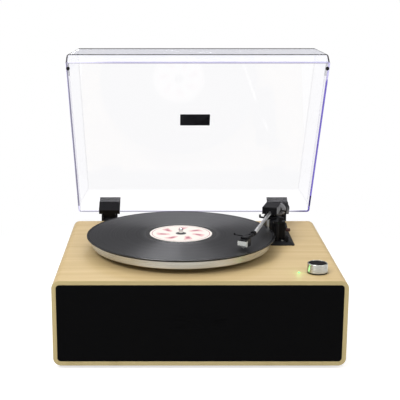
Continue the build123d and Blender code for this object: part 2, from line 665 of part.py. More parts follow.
def build_tonearm_unit():
    """The black base plate, the tower, the cueing lift, the rest with its clip and the speed selector."""
    plate_x = (UNIT_PLATE_LEFT + UNIT_PLATE_RIGHT) / 2
    plate_y = (UNIT_PLATE_FRONT + UNIT_PLATE_BACK) / 2
    plate_w = UNIT_PLATE_RIGHT - UNIT_PLATE_LEFT
    plate_l = UNIT_PLATE_BACK - UNIT_PLATE_FRONT
    lower = Pos(plate_x, plate_y, DECK) * RectangleRounded(plate_w, plate_l, 3.0)
    bevel = UNIT_PLATE_BEVEL
    upper = Pos(plate_x - bevel / 2 + 1.0, plate_y, PLATE_TOP) * RectangleRounded(
        plate_w - bevel - 2.0, plate_l - 2 * bevel, 3.0
    )
    rim = extrude(lower, amount=1.2)
    plate = rim + loft([Pos(0, 0, 1.2) * lower, upper])
    plunger_x = PIVOT_X - LIFT_RADIUS * sin(radians(DAMPER_TURN))
    plunger_y = PIVOT_Y - LIFT_RADIUS * cos(radians(DAMPER_TURN))
    plate += disc(DAMPER_RADIUS + 3.0, DECK, PLATE_TOP, plunger_x, plunger_y)
    slot_half = SELECTOR_TRAVEL + 3.5
    plate -= block(
        SELECTOR_X - 1.7, SELECTOR_X + 1.7, SELECTOR_Y - slot_half, SELECTOR_Y + slot_half, DECK - 1, PLATE_TOP + 1
    )
    keep("arm_base_plate", plate)
    lever = Pos(SELECTOR_X, SELECTOR_Y) * block(-1.4, 1.4, -3.0, 3.0, DECK + 0.4, PLATE_TOP + 3.0)
    cap = Pos(SELECTOR_X, SELECTOR_Y) * block(-2.6, 2.6, -3.6, 3.6, PLATE_TOP + 0.5, PLATE_TOP + 8.0)
    cap = chamfer(cap.edges().group_by(Axis.Z)[-1], 1.2)
    for offset in (-1.8, 0.0, 1.8):
        groove = block(-3.0, 3.0, offset - 0.4, offset + 0.4, PLATE_TOP + 7.4, PLATE_TOP + 9.0)
        cap -= Pos(SELECTOR_X, SELECTOR_Y) * groove
    keep("speed_selector", lever + cap)

    front_block = Pos((TOWER_LEFT + TOWER_RIGHT) / 2, (TOWER_FRONT + TOWER_KNEE) / 2) * Rectangle(
        TOWER_RIGHT - TOWER_LEFT, TOWER_KNEE - TOWER_FRONT
    )
    rear_round = Pos(PIVOT_X, PIVOT_Y) * Circle(TOWER_REAR_RADIUS)
    outline = make_hull(front_block.edges() + rear_round.edges())
    tower = Pos(0, 0, PLATE_TOP) * extrude(outline, amount=TOWER_TOP - PLATE_TOP)
    tower = fillet(tower.edges().filter_by(Axis.Z).sort_by(Axis.Y)[:2], 2.0)
    tower = chamfer(tower.faces().sort_by(Axis.Z)[-1].edges(), 0.8)
    tower -= disc(TURRET_SHAFT_RADIUS + RUN_GAP, PLATE_TOP + 4.0, TOWER_TOP + 1, PIVOT_X, PIVOT_Y)
    tower -= disc(DAMPER_RADIUS + SEAT_GAP, PLATE_TOP - 1, TOWER_TOP + 1, plunger_x, plunger_y)
    cue_z = DECK + CUE_LIFT
    tower -= rod_x(CUE_SHAFT_RADIUS + RUN_GAP, TOWER_RIGHT - 10.0, TOWER_RIGHT + 1, CUE_Y, cue_z)
    keep("arm_tower", tower)

    build_lift(plunger_x, plunger_y, cue_z)
    build_rest()
    build_turret()
    build_arm()


def build_lift(plunger_x, plunger_y, cue_z):
    """The cue lever on the tower's right side, the damper beside the tower, and the lift bar on its plunger."""
    shaft = rod_x(CUE_SHAFT_RADIUS, TOWER_RIGHT - 9.0, TOWER_RIGHT + 4.5, CUE_Y, cue_z)
    arm_x0 = TOWER_RIGHT + 0.8
    arm_x1 = TOWER_RIGHT + 3.8
    tip_z = cue_z - 3.0
    tip_y = CUE_Y - CUE_REACH
    hull = make_hull(
        (Pos(CUE_Y, cue_z) * Circle(3.6)).edges() + (Pos(tip_y, tip_z) * Circle(1.8)).edges()
    )
    arm = extrude(Plane.YZ.offset(arm_x0) * hull, amount=arm_x1 - arm_x0)
    grip = rod_x(2.6, arm_x0, arm_x1 + 4.0, tip_y, tip_z)
    grip = chamfer(grip.edges().filter_by(GeomType.CIRCLE), 0.4)
    keep("cue_lever", shaft + arm + grip)

    high = TUBE_Z - TUBE_RADIUS - LIFT_BAR_GAP
    low = high - LIFT_BAR_THICKNESS
    bar_half = 1.5
    left_turn = 47.0
    right_turn = 10.0
    reach = 2 * LIFT_RADIUS
    wedge = make_face(Polyline(
        (0, 0), (-reach * sin(radians(left_turn)), -reach * cos(radians(left_turn))), (0, -2 * reach),
        (reach * sin(radians(right_turn)), -reach * cos(radians(right_turn))), close=True,
    ))
    bar = ring(LIFT_RADIUS + bar_half, LIFT_RADIUS - bar_half, low, high)
    bar &= Pos(0, 0, low - 1) * extrude(wedge, amount=LIFT_BAR_THICKNESS + 2)
    horn_turn = radians(left_turn - 1.5)
    horn = Pos(-LIFT_RADIUS * sin(horn_turn), -LIFT_RADIUS * cos(horn_turn), high + 1.0)
    bar += horn * Rot(0, 0, -left_turn) * Box(1.6, 2 * bar_half, 4.0)
    bar = Pos(PIVOT_X, PIVOT_Y, 0) * bar
    keep("lift_bar", bar, disc(PLUNGER_RADIUS, PLATE_TOP + 12.0, low, plunger_x, plunger_y))
    damper_top = low - 1.2
    damper = disc(DAMPER_RADIUS, PLATE_TOP, damper_top, plunger_x, plunger_y)
    damper -= disc(PLUNGER_RADIUS + RUN_GAP, PLATE_TOP + 10.0, damper_top + 1, plunger_x, plunger_y)
    keep("lift_damper", damper)


def build_rest():
    """The arm rest in front of the tower and the clip that swings over the tube."""
    turn = radians(-ARM_REST_YAW)
    rest_x = PIVOT_X + REST_DISTANCE * sin(turn)
    rest_y = PIVOT_Y - REST_DISTANCE * cos(turn)
    place = Pos(rest_x, rest_y, 0) * Rot(0, 0, degrees(turn))
    cradle_low = TUBE_Z - TUBE_RADIUS - 4.3
    post = disc(3.6, PLATE_TOP, cradle_low + 0.5)
    cradle_half = 3.5
    arm_side = 7.6
    cradle = block(-6.0, arm_side, -cradle_half, cradle_half, cradle_low, TUBE_Z + 3.2)
    seat = TUBE_RADIUS + SEAT_GAP
    cradle -= rod_y(seat, -5, 5, 0, TUBE_Z)
    cradle -= block(-seat, seat, -5, 5, TUBE_Z, TUBE_Z + 9)
    cradle -= block(-9.0, 0.0, -5, 5, TUBE_Z - TUBE_RADIUS - 0.5, TUBE_Z + 9)
    hinge_x = arm_side - 1.8
    hinge_z = TUBE_Z + 1.4
    wire = 0.8
    cradle -= rod_y(wire + RUN_GAP, -5, 5, hinge_x, hinge_z)
    keep("arm_rest", place * (post + cradle))

    bridge_low = TUBE_Z + 4.0
    roof = TUBE_Z + TUBE_RADIUS + 4.0
    band = make_face(Polyline(
        (hinge_x - 1.4, bridge_low), (arm_side, bridge_low), (arm_side, roof + 0.6), (arm_side - 2.0, roof + 2.0),
        (-5.6, roof + 2.0), (-7.8, roof + 0.2), (-7.8, TUBE_Z + 0.5), (-6.0, TUBE_Z + 0.5),
        (-5.8, roof - 1.0), (-5.0, roof), (hinge_x - 1.4, roof), close=True,
    ))
    clip = extrude(Plane.XZ * band, amount=2.4, both=True)
    ear = cradle_half + SEAT_GAP
    for side in (-1, 1):
        near = min(side * ear, side * (ear + 1.2))
        clip += block(hinge_x - 1.4, arm_side, near, near + 1.2, hinge_z - 1.8, bridge_low + 1.6)
        inner = min(side * 2.0, side * (ear + 1.2))
        clip += block(hinge_x - 1.4, arm_side, inner, inner + ear - 0.8, bridge_low, bridge_low + 1.6)
    clip += rod_y(wire, -ear - 1.2, ear + 1.2, hinge_x, hinge_z)
    hinge_axis = Axis((place * Pos(hinge_x, 0, hinge_z)).position, (-sin(turn), cos(turn), 0))
    keep("arm_clip", (place * clip).rotate(hinge_axis, CLIP_OPEN))


def build_turret():
    """The turning yoke on the tower, the cover over it and its pointed side pins."""
    place = arm_place()
    base_low = TOWER_TOP + 0.4
    yoke = disc(TURRET_SHAFT_RADIUS, PLATE_TOP + 6.0, base_low + 0.5) + disc(11.0, base_low, base_low + 1.6)
    for side in (-1, 1):
        x0 = min(side * (YOKE_HALF - 2.0), side * YOKE_HALF)
        yoke += block(x0, x0 + 2.0, -6.0, 6.0, base_low, DECK + HOOD_TOP - HOOD_WALL)
    yoke -= rod_x(PIVOT_PIN_RADIUS, -20, 20, 0, TUBE_Z)
    pins = [cone_pin(side * YOKE_HALF, side * 5.1, PIVOT_PIN_RADIUS) for side in (-1, 1)]
    keep("arm_yoke", place * yoke, *[place * pin for pin in pins])

    top = DECK + HOOD_TOP
    low = DECK + HOOD_BOTTOM
    half = HOOD_WIDTH / 2
    hood = block(-half, half, -HOOD_FRONT, HOOD_REAR, low, top)
    hood = fillet(hood.edges().group_by(Axis.Z)[-1], 1.8)
    inner = half - HOOD_WALL
    hood -= block(-inner, inner, -HOOD_FRONT + HOOD_WALL, HOOD_REAR + 1, low - 1, top - HOOD_WALL)
    slot = TUBE_RADIUS + 0.9
    hood = Pos(HOOD_SHIFT, 0, 0) * hood
    hood -= block(-slot, slot, -HOOD_FRONT - 1, 0, low - 1, TUBE_Z + TUBE_RADIUS + 2.6)
    keep("arm_hood", place * hood)


def build_arm():
    """Everything that tilts: tube, headshell, cartridge, stylus, finger lift and counterweight."""
    place = arm_place()
    bearing = block(-5.6, 5.6, -7.0, 6.0, TUBE_Z - BEARING_HALF, TUBE_Z + BEARING_HALF)
    bearing = chamfer(bearing.edges().filter_by(Axis.Y), 0.8)
    bearing -= rod_y(TUBE_RADIUS + PRESS_GAP, -20, 0, 0, TUBE_Z)
    for side in (-1, 1):
        cup = min(side * 4.8, side * 6.6)
        bearing -= rod_x(1.9, cup, cup + 1.8, 0, TUBE_Z)

    head_turn = HEAD_ANGLE - ARM_YAW
    tube_end = -TUBE_REACH
    neck_x = -HEAD_NECK * sin(radians(head_turn))
    neck_y = tube_end - HEAD_NECK * cos(radians(head_turn))
    path = FilletPolyline((0, 0, TUBE_Z), (0, tube_end, TUBE_Z), (neck_x, neck_y, TUBE_Z), radius=12.0)
    section = Plane(origin=(0, 0, TUBE_Z), z_dir=(0, -1, 0)) * (Circle(TUBE_RADIUS) - Circle(TUBE_RADIUS - TUBE_WALL))
    tube = sweep(section, path=path)

    stub_place = Rot(0, 0, -STUB_TURN) * Pos(0, 0, TUBE_Z) * Rot(-STUB_DROOP, 0, 0) * Pos(0, 0, -TUBE_Z)
    weight_front = WEIGHT_DISTANCE + DIAL_LENGTH + 0.2
    weight_back = weight_front + WEIGHT_LENGTH
    stub = stub_place * rod_y(STUB_RADIUS, 1.5, weight_back + 2.0, 0, TUBE_Z)
    bearing -= stub_place * rod_y(STUB_RADIUS + PRESS_GAP, 1.5, 20, 0, TUBE_Z)
    keep("pivot_bearing", place * bearing)
    keep("arm_tube", place * tube, place * stub)

    bore = rod_y(STUB_RADIUS + PRESS_GAP, 0, weight_back + 5, 0, TUBE_Z)
    hub = rod_y(WEIGHT_HUB_RADIUS, WEIGHT_DISTANCE - WEIGHT_HUB_LENGTH, WEIGHT_DISTANCE, 0, TUBE_Z) - bore
    dial = rod_y(DIAL_RADIUS, WEIGHT_DISTANCE, WEIGHT_DISTANCE + DIAL_LENGTH, 0, TUBE_Z)
    dial = chamfer(dial.edges().filter_by(GeomType.CIRCLE).sort_by(Axis.Y)[0], 1.0)
    for index in range(DIAL_RIBS):
        notch = Rot(0, index * 360 / DIAL_RIBS, 0) * Pos(0, 0, DIAL_RADIUS) * Box(0.8, 2 * DIAL_LENGTH - 2.4, 0.7)
        dial -= Pos(0, WEIGHT_DISTANCE + DIAL_LENGTH, TUBE_Z) * notch
    keep("weight_dial", place * stub_place * (dial - bore))

    weight = rod_y(WEIGHT_RADIUS, weight_front, weight_back, 0, TUBE_Z)
    weight = chamfer(weight.edges().filter_by(GeomType.CIRCLE), 1.0)
    keep("counterweight", place * stub_place * (weight - bore), place * stub_place * hub)

    build_head(place * Pos(0, tube_end, 0) * Rot(0, 0, -head_turn))


def build_head(head):
    """The headshell and what hangs from it, in a frame at the bend with the cartridge towards -Y."""
    front = -CARTRIDGE_REACH
    cart_low = RECORD_TOP + CARTRIDGE_LIFT
    cart_top = cart_low + CARTRIDGE_HEIGHT
    shell_top = cart_top + SHELL_THICKNESS
    collar_front = -HEAD_NECK - 2.4
    collar = rod_y(COLLAR_RADIUS, collar_front, collar_front + COLLAR_LENGTH, 0, TUBE_Z)
    collar = chamfer(collar.edges().filter_by(GeomType.CIRCLE), 0.5)
    collar -= rod_y(TUBE_RADIUS + PRESS_GAP, -HEAD_NECK, 0, 0, TUBE_Z)
    half = SHELL_WIDTH / 2
    outline = make_face(Polyline(
        (-half, front + SHELL_SETBACK), (half, front + SHELL_SETBACK), (half, collar_front - 8.0),
        (COLLAR_RADIUS - 1.0, collar_front + 1.0), (-COLLAR_RADIUS + 1.0, collar_front + 1.0),
        (-half, collar_front - 8.0), close=True,
    ))
    shell = Pos(0, 0, cart_top) * extrude(outline, amount=SHELL_THICKNESS)
    shell = fillet(shell.edges().group_by(Axis.Z)[-1], 0.8)
    slot_front = front + CARTRIDGE_LENGTH + 6.0
    shell -= block(-1.4, 1.4, slot_front, slot_front + 6.0, cart_top - 1, shell_top + 1)
    keep("headshell", head * (shell + collar))

    back = front + CARTRIDGE_LENGTH
    width = CARTRIDGE_WIDTH / 2
    body = block(-width, width, front, back, cart_low, cart_top)
    body = chamfer(body.edges().filter_by(Axis.X).sort_by(Axis.Z)[:1], 2.0)
    body = fillet(body.edges().filter_by(Axis.Z), 0.8)
    front_half = block(-width - 1, width + 1, front - 1, front + NOSE_LENGTH, cart_low - 1, cart_top - NOSE_DROP)
    keep("cartridge", head * (body - front_half))

    tip_y = front + STYLUS_SETBACK
    tip = RECORD_TOP - GROOVE_DEPTH + GROOVE_GAP
    holder_low = cart_low - 1.6
    holder = block(-3.0, 3.0, tip_y - 1.0, tip_y + 8.0, holder_low, cart_low)
    cantilever = block(-0.5, 0.5, tip_y - 0.5, tip_y + 4.0, holder_low - 0.7, holder_low + 0.1)
    needle = turned([(0, tip), (0.45, tip + 0.9), (0.45, holder_low - 0.3), (0, holder_low - 0.3)])
    nose = body & front_half
    keep("stylus", head * (nose + holder + cantilever + Pos(0, tip_y, 0) * needle))

    lift_y = back + 0.3
    lift_z = cart_top + 0.6
    lift = block(-half - FINGER_REACH, -half, lift_y, lift_y + 2.8, lift_z, lift_z + 1.2)
    curl = block(-half - FINGER_REACH, -half - FINGER_REACH + 1.4, lift_y, lift_y + 2.8, lift_z, lift_z + 3.0)
    keep("finger_lift", head * (lift + curl))


# Knob and light
def build_controls():
    """The volume knob on its potentiometer, and the green power light."""
    skirt_low = DECK + 0.6
    skirt_high = skirt_low + KNOB_SKIRT
    skirt = disc(KNOB_RADIUS - 0.7, skirt_low, skirt_high, KNOB_X, KNOB_Y)
    skirt -= disc(KNOB_SHAFT_RADIUS + 0.02, DECK, skirt_high + 1, KNOB_X, KNOB_Y)
    keep("knob_skirt", skirt)
    top = DECK + KNOB_HEIGHT
    profile = [
        (KNOB_SHAFT_RADIUS + 0.02, skirt_high), (KNOB_RADIUS - 0.4, skirt_high), (KNOB_RADIUS, skirt_high + 0.5),
        (KNOB_TOP_RADIUS, top - 0.5), (KNOB_TOP_RADIUS - 0.5, top), (KNOB_TOP_RADIUS - 1.4, top),
        (KNOB_TOP_RADIUS - 1.7, top - 1.4), (KNOB_SHAFT_RADIUS + 0.02, top - 1.4),
    ]
    keep("volume_knob", turned(profile, KNOB_X, KNOB_Y))
    cap = disc(KNOB_TOP_RADIUS - 1.75, top - 1.4, top - 0.5, KNOB_X, KNOB_Y)
    pointer = KNOB_TOP_RADIUS - 4.0
    cap -= Pos(KNOB_X, KNOB_Y, top) * Rot(0, 0, 35) * Pos(0, -pointer, 0) * Box(1.2, 5.0, 1.6)
    keep("knob_cap", cap)
    shaft = disc(KNOB_SHAFT_RADIUS, DECK - WALL - 8.0, top - 1.4, KNOB_X, KNOB_Y)
    shaft -= block(KNOB_X + 1.6, KNOB_X + 5, KNOB_Y - 5, KNOB_Y + 5, skirt_low, top - 1.4)
    keep("knob_shaft", shaft)

    under = DECK - WALL
    bushing = ring(4.5, KNOB_SHAFT_RADIUS + RUN_GAP, under - 3.0, DECK, KNOB_X, KNOB_Y)
    body = disc(8.5, under - 12.0, under - 3.0, KNOB_X, KNOB_Y)
    body -= disc(KNOB_SHAFT_RADIUS + RUN_GAP, under - 8.5, under, KNOB_X, KNOB_Y)
    nut = ring(6.5, 4.5 + 0.02, under - 2.8, under - 0.3, KNOB_X, KNOB_Y)
    keep("volume_control", bushing + body, nut)

    lens = disc(LIGHT_RADIUS, DECK - 6.0, DECK + 0.5, LIGHT_X, LIGHT_Y)
    lens += Pos(LIGHT_X, LIGHT_Y, DECK + 0.5) * Sphere(LIGHT_RADIUS)
    lens &= disc(LIGHT_RADIUS, DECK - 6.0, DECK + 1.3, LIGHT_X, LIGHT_Y)
    lens += disc(LIGHT_RADIUS + 1.0, DECK - WALL - 3.0, DECK - WALL, LIGHT_X, LIGHT_Y)
    lens += disc(LIGHT_RADIUS, DECK - WALL, DECK - 5.0, LIGHT_X, LIGHT_Y)
    keep("power_light", lens)


# Dust cover and hinges
def opened(shape):
    """Turn a piece of the closed dust cover to the open position."""
    return shape.rotate(Axis((0, HINGE_Y, HINGE_Z), (1, 0, 0)), -LID_OPEN)


def lid_form(inset, height):
    """The cover's outer form moved in by a wall, from its free edge up to a height."""
    width = LID_WIDTH - 2 * inset
    length = LID_LENGTH - 2 * inset
    middle_y = LID_REAR_Y - LID_LENGTH / 2
    corner = max(LID_CORNER - inset, 1.0)
    rise = height - LID_SKIRT
    share = rise / (LID_HEIGHT - LID_SKIRT)
    low = Pos(0, middle_y, LID_Z) * RectangleRounded(width, length, corner)
    skirt = extrude(low, amount=LID_SKIRT)
    knee = Pos(0, middle_y, LID_Z + LID_SKIRT) * RectangleRounded(width, length, corner)
    top_width = width - 2 * LID_SLOPE_SIDE * share
    top_length = length - LID_SLOPE_FRONT * share
    top_y = middle_y + LID_SLOPE_FRONT * share / 2
    top = Pos(0, top_y, LID_Z + height) * RectangleRounded(top_width, top_length, corner)
    return skirt + loft([knee, top])


def build_lid():
    """The clear cover with its blank plate and corner bumpers, and both hinges."""
    cover = lid_form(0.0, LID_HEIGHT) - lid_form(LID_WALL, LID_HEIGHT - LID_WALL)
    cover -= Pos(0, 0, -1) * extrude(
        Pos(0, LID_REAR_Y - LID_LENGTH / 2, LID_Z)
        * RectangleRounded(LID_WIDTH - 2 * LID_WALL, LID_LENGTH - 2 * LID_WALL, LID_CORNER - LID_WALL),
        amount=2,
    )
    keep("dust_cover", opened(cover))

    middle_y = LID_REAR_Y - LID_LENGTH / 2
    badge_z = LID_Z + LID_HEIGHT
    badge = block(
        -BADGE_WIDTH / 2, BADGE_WIDTH / 2, middle_y - BADGE_LENGTH / 2, middle_y + BADGE_LENGTH / 2,
        badge_z, badge_z + 0.8,
    )
    badge = fillet(badge.edges().filter_by(Axis.Z), 1.2)
    keep("lid_plate", opened(badge))

    bumpers = []
    front_y = LID_REAR_Y - LID_LENGTH
    for side in (-1, 1):
        x = side * (LID_WIDTH / 2 - 3.4)
        bumper = disc(2.8, LID_Z - (LID_GAP - SEAT_GAP), LID_Z, x, front_y + 12.0)
        bumpers.append(opened(bumper))
    keep("lid_bumpers", *bumpers)

    clips = []
    brackets = []
    pins = []
    for side in (-1, 1):
        x = side * HINGE_X
        clips.append(opened(hinge_clip(x)))
        brackets.append(hinge_bracket(x))
        pins.append(rod_x(HINGE_PIN_RADIUS, x - HINGE_WIDTH / 2, x + HINGE_WIDTH / 2, HINGE_Y, HINGE_Z))
        for level in (22.0, 34.0):
            place = Pos(x, BACK + 3.0, DECK - level) * Rot(-90, 0, 0)
            case_screws.append(place * pan_screw(3.4, 2.0, 1.8, 3.0))
    keep("hinge_clips", *clips)
    keep("hinge_brackets", *brackets)
    keep("hinge_pins", *pins)


def hinge_clip(x):
    """The upper hinge half, closed: a channel that grips the cover's rear wall, a neck and a knuckle."""
    gap = SEAT_GAP * 0.8
    half = CLIP_WIDTH / 2
    low = LID_Z - 2.0
    high = low + CLIP_HEIGHT
    floor_top = LID_Z - gap
    outer_y = LID_REAR_Y + gap
    inner_y = LID_REAR_Y - LID_WALL - gap
    plate = 3.2
    body = block(x - half, x + half, outer_y, outer_y + plate, low, high)
    body += block(x - half, x + half, inner_y - plate + 0.8, inner_y, low, LID_Z + LID_SKIRT)
    body += block(x - half, x + half, inner_y - plate + 0.8, outer_y + plate, low, floor_top)
    for offset in (-12.0, -4.0, 4.0, 12.0):
        body += block(x + offset - 0.9, x + offset + 0.9, outer_y + plate, outer_y + plate + 1.4, low, high - 2.0)
    neck = NECK_WIDTH / 2
    body += block(x - neck, x + neck, outer_y + plate - 1.0, HINGE_Y, DECK + 0.5, DECK + 5.0)
    body += rod_x(5.0, x - neck, x + neck, HINGE_Y, HINGE_Z)
    body -= rod_x(HINGE_PIN_RADIUS + RUN_GAP, x - neck - 1, x + neck + 1, HINGE_Y, HINGE_Z)
    return body


def hinge_bracket(x):
    """The lower hinge half: a plate on the cabinet's back with two cheeks that hold the pin."""
    half = HINGE_WIDTH / 2
    neck = NECK_WIDTH / 2 + SEAT_GAP
    bracket = block(x - half, x + half, BACK, BACK + 3.0, DECK - 42.0, DECK - 8.0)
    outline = make_hull(
        (Pos(HINGE_Y, HINGE_Z + HINGE_STAND - 5.5) * Circle(5.6)).edges()
        + (Pos(HINGE_Y - 3.0, DECK - 24.0) * Circle(1.0)).edges()
        + (Pos(BACK + 1.2, DECK - 24.0) * Circle(1.0)).edges()
        + (Pos(BACK + 1.2, HINGE_Z + HINGE_STAND - 4.0) * Circle(1.0)).edges()
    )
    for side in (-1, 1):
        start = neck if side > 0 else -half
        cheek = extrude(Plane.YZ.offset(x + start) * outline, amount=half - neck)
        bracket += cheek
    bracket -= rod_x(HINGE_PIN_RADIUS + 0.02, x - half - 1, x + half + 1, HINGE_Y, HINGE_Z)
    for level in (22.0, 34.0):
        bracket -= rod_y(1.8 + SCREW_GAP, BACK - 1, BACK + 4, x, DECK - level)
    return bracket


build_cabinet()
build_front()
build_rear()
build_turntable()
build_tonearm_unit()
build_controls()
build_lid()
keep("case_screws", *case_screws)
keep("drive_screws", *drive_screws)

rear_reach = nodes["dust_cover"][0].bounding_box().max.Y
to_middle = Pos(0, -(FRONT + rear_reach) / 2, 0)
for name, solids in nodes.items():
    moved = [to_middle * solid for solid in solids]
    export_step(moved[0] if len(moved) == 1 else Compound(children=moved), f"parts/{name}.step")
print(len(nodes), "nodes, moved along Y by", round(-(FRONT + rear_reach) / 2, 3))
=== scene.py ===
"""Looks of a record player with a wooden case and a clear hinged cover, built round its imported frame.

Lengths are metres, X to the right, Y to the back, Z up. Every piece keeps its place in its mesh.
"""

import logging
import math
from dataclasses import dataclass
from enum import Enum
from functools import cache

import bpy
import numpy as np
from bpy.types import ID, Material, Mesh, Node, NodeTree, Object
from bpy.types import NodeSocket as Socket
from mathutils import Matrix, Vector


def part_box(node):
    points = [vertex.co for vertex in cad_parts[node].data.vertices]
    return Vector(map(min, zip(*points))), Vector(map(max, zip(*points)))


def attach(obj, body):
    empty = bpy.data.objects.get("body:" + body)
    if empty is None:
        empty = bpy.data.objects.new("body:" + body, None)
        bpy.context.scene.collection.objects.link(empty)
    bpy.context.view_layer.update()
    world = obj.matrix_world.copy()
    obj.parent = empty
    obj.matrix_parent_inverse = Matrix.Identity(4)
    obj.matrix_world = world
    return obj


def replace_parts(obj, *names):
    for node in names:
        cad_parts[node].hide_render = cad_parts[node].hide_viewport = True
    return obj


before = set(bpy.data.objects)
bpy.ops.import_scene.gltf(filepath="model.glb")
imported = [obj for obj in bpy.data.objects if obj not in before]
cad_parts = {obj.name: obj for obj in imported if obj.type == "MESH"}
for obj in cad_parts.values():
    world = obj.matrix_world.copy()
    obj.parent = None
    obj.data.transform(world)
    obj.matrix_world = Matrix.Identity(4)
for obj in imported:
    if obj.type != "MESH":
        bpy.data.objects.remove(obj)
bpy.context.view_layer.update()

Rgb = tuple[float, float, float]
Point = tuple[float, float, float]
Value = Socket | float

log = logging.getLogger("record_player")

MM = 0.001
TURN = 2 * math.pi
BLACK: Rgb = (0.0, 0.0, 0.0)
WHITE: Rgb = (1.0, 1.0, 1.0)
UP: Point = (0, 0, 1)
DOWN: Point = (0, 0, -1)
RIGHT: Point = (1, 0, 0)
REARWARD: Point = (0, 1, 0)


# Surfaces
@dataclass(frozen=True)
class Surface:
    """Corner points with the quads and triangles between them."""

    points: np.ndarray
    quads: np.ndarray
    triangles: np.ndarray

    def placed(self, origin: Point, along: Point = UP, side: Point = RIGHT) -> "Surface":
        """The surface with its own Z turned to along, its X as near to side as that leaves, and moved.

        Args:
            origin: where the surface's own origin goes.
            along: the direction of the surface's own Z.
            side: a direction near that of the surface's own X.

        Returns:
            The placed copy.
        """
        z = np.array(along, float) / np.linalg.norm(along)
        x = np.array(side, float) - np.dot(side, z) * z
        x /= np.linalg.norm(x)
        turn = np.stack([x, np.cross(z, x), z])
        return Surface(self.points @ turn + np.array(origin, float), self.quads, self.triangles)

    def mesh(self, sharp: float = 35.0) -> Mesh:
        """A mesh of the surface, softly shaded between faces that meet at less than an angle.

        Args:
            sharp: the angle in degrees from which an edge is shown as a corner.

        Returns:
            The mesh.
        """
        mesh = bpy.data.meshes.new("skin")
        mesh.vertices.add(len(self.points))
        mesh.vertices.foreach_set("co", self.points.astype(np.float32).ravel())
        corners = np.concatenate([self.quads.ravel(), self.triangles.ravel()]).astype(np.int32)
        sizes = np.repeat([4, 3], [len(self.quads), len(self.triangles)])
        starts = np.concatenate([[0], np.cumsum(sizes)[:-1]]).astype(np.int32)
        mesh.loops.add(len(corners))
        mesh.loops.foreach_set("vertex_index", corners)
        mesh.polygons.add(len(sizes))
        mesh.polygons.foreach_set("loop_start", starts)
        mesh.polygons.foreach_set("use_smooth", np.ones(len(sizes), bool))
        mesh.update(calc_edges=True)
        mesh.validate()
        mesh.set_sharp_from_angle(angle=math.radians(sharp))
        return mesh


def joined(surfaces: list[Surface]) -> Surface:
    """All the surfaces as one, their face numbers moved on by the points before them.

    Args:
        surfaces: the skins, in order.

    Returns:
        One surface that holds them all.
    """
    starts = np.cumsum([0] + [len(s.points) for s in surfaces[:-1]])
    return Surface(
        np.concatenate([s.points for s in surfaces]),
        np.concatenate([s.quads + n for s, n in zip(surfaces, starts)]),
        np.concatenate([s.triangles + n for s, n in zip(surfaces, starts)]),
    )


def ring_quads(rows: int, columns: int, closed: bool = False) -> np.ndarray:
    """Quads between neighbouring rings of points, each of which closes on itself.

    Args:
        rows: how many rings.
        columns: how many points in a ring.
        closed: whether the last ring meets the first.

    Returns:
        Four point numbers for each quad.
    """
    a, b = np.meshgrid(np.arange(rows if closed else rows - 1), np.arange(columns), indexing="ij")
    c, d = (a + 1) % rows, (b + 1) % columns
    corners = [a * columns + b, a * columns + d, c * columns + d, c * columns + b]
    return np.stack(corners, -1).reshape(-1, 4)


def fan(pole: int, ring: np.ndarray, upward: bool) -> np.ndarray:
    """Triangles from one point to a closed ring of points.

    Args:
        pole: the number of the point in the middle.
        ring: the numbers of the ring's points, anticlockwise from above.
        upward: whether the faces look up, and otherwise down.

    Returns:
        Three point numbers for each triangle.
    """
    after = np.roll(ring, -1)
    centre = np.full_like(ring, pole)
    return np.stack([ring, after, centre] if upward else [centre, after, ring], -1)


def turned(
    profile: np.ndarray, segments: int = 64, closed: bool = False, lift: np.ndarray | float = 0.0
) -> Surface:
    """A turned skin: each profile point goes round Z, at (radius cos a, radius sin a, height).

    Args:
        profile: radius and height of each point, from the bottom's middle outwards and up to the top's.
        segments: how many steps round.
        closed: whether the profile is a ring of its own, as on a washer, instead of ending on the axis.
        lift: extra height for each profile point and step, as on a cut recess.

    Returns:
        The closed skin.
    """
    profile = np.asarray(profile, float)
    rings = profile if closed else profile[1:-1]
    a = np.arange(segments) * TURN / segments
    r, z = rings[:, :1], np.repeat(rings[:, 1:], segments, 1) + lift
    points = np.stack([r * np.cos(a), r * np.sin(a), z], -1).reshape(-1, 3)
    quads = ring_quads(len(rings), segments, closed)
    if closed:
        return Surface(points, quads, np.zeros((0, 3), int))
    low, high = len(points), len(points) + 1
    top = profile[-1, 1] + np.min(np.atleast_1d(lift)[-1])
    points = np.concatenate([points, [[0, 0, profile[0, 1]], [0, 0, top]]])
    first = np.arange(segments)
    last = (len(rings) - 1) * segments + first
    return Surface(points, quads, np.concatenate([fan(low, first, False), fan(high, last, True)]))


def rounded_frame(width: float, height: float, radius: float, steps: int = 10, side: int = 12) -> np.ndarray:
    """Points of a rounded rectangle, anticlockwise: four quarter circles joined by straight sides.

    Args:
        width: full width.
        height: full height.
        radius: corner radius.
        steps: points in each corner.
        side: points on each straight side.

    Returns:
        One row of x and y for each point.
    """
    corners = np.array([[1, 1], [-1, 1], [-1, -1], [1, -1]]) * [width / 2 - radius, height / 2 - radius]
    angles = np.linspace(0, TURN / 4, steps)
    arcs = []
    for quarter, corner in enumerate(corners):
        a = angles + quarter * TURN / 4
        arcs.append(corner + radius * np.stack([np.cos(a), np.sin(a)], -1))
    t = np.linspace(0, 1, side + 2)[1:-1, None]
    sides = [arcs[k][-1] * (1 - t) + arcs[(k + 1) % 4][0] * t for k in range(4)]
    return np.concatenate([part for pair in zip(arcs, sides) for part in pair])


# Pieces
def link(name: str, data: ID) -> Object:
    """A new object in the scene.

    Args:
        name: its name.
        data: the mesh, curve, lamp or camera that it shows.

    Returns:
        The object.
    """
    made = bpy.data.objects.new(name, data)
    bpy.context.scene.collection.objects.link(made)
    return made


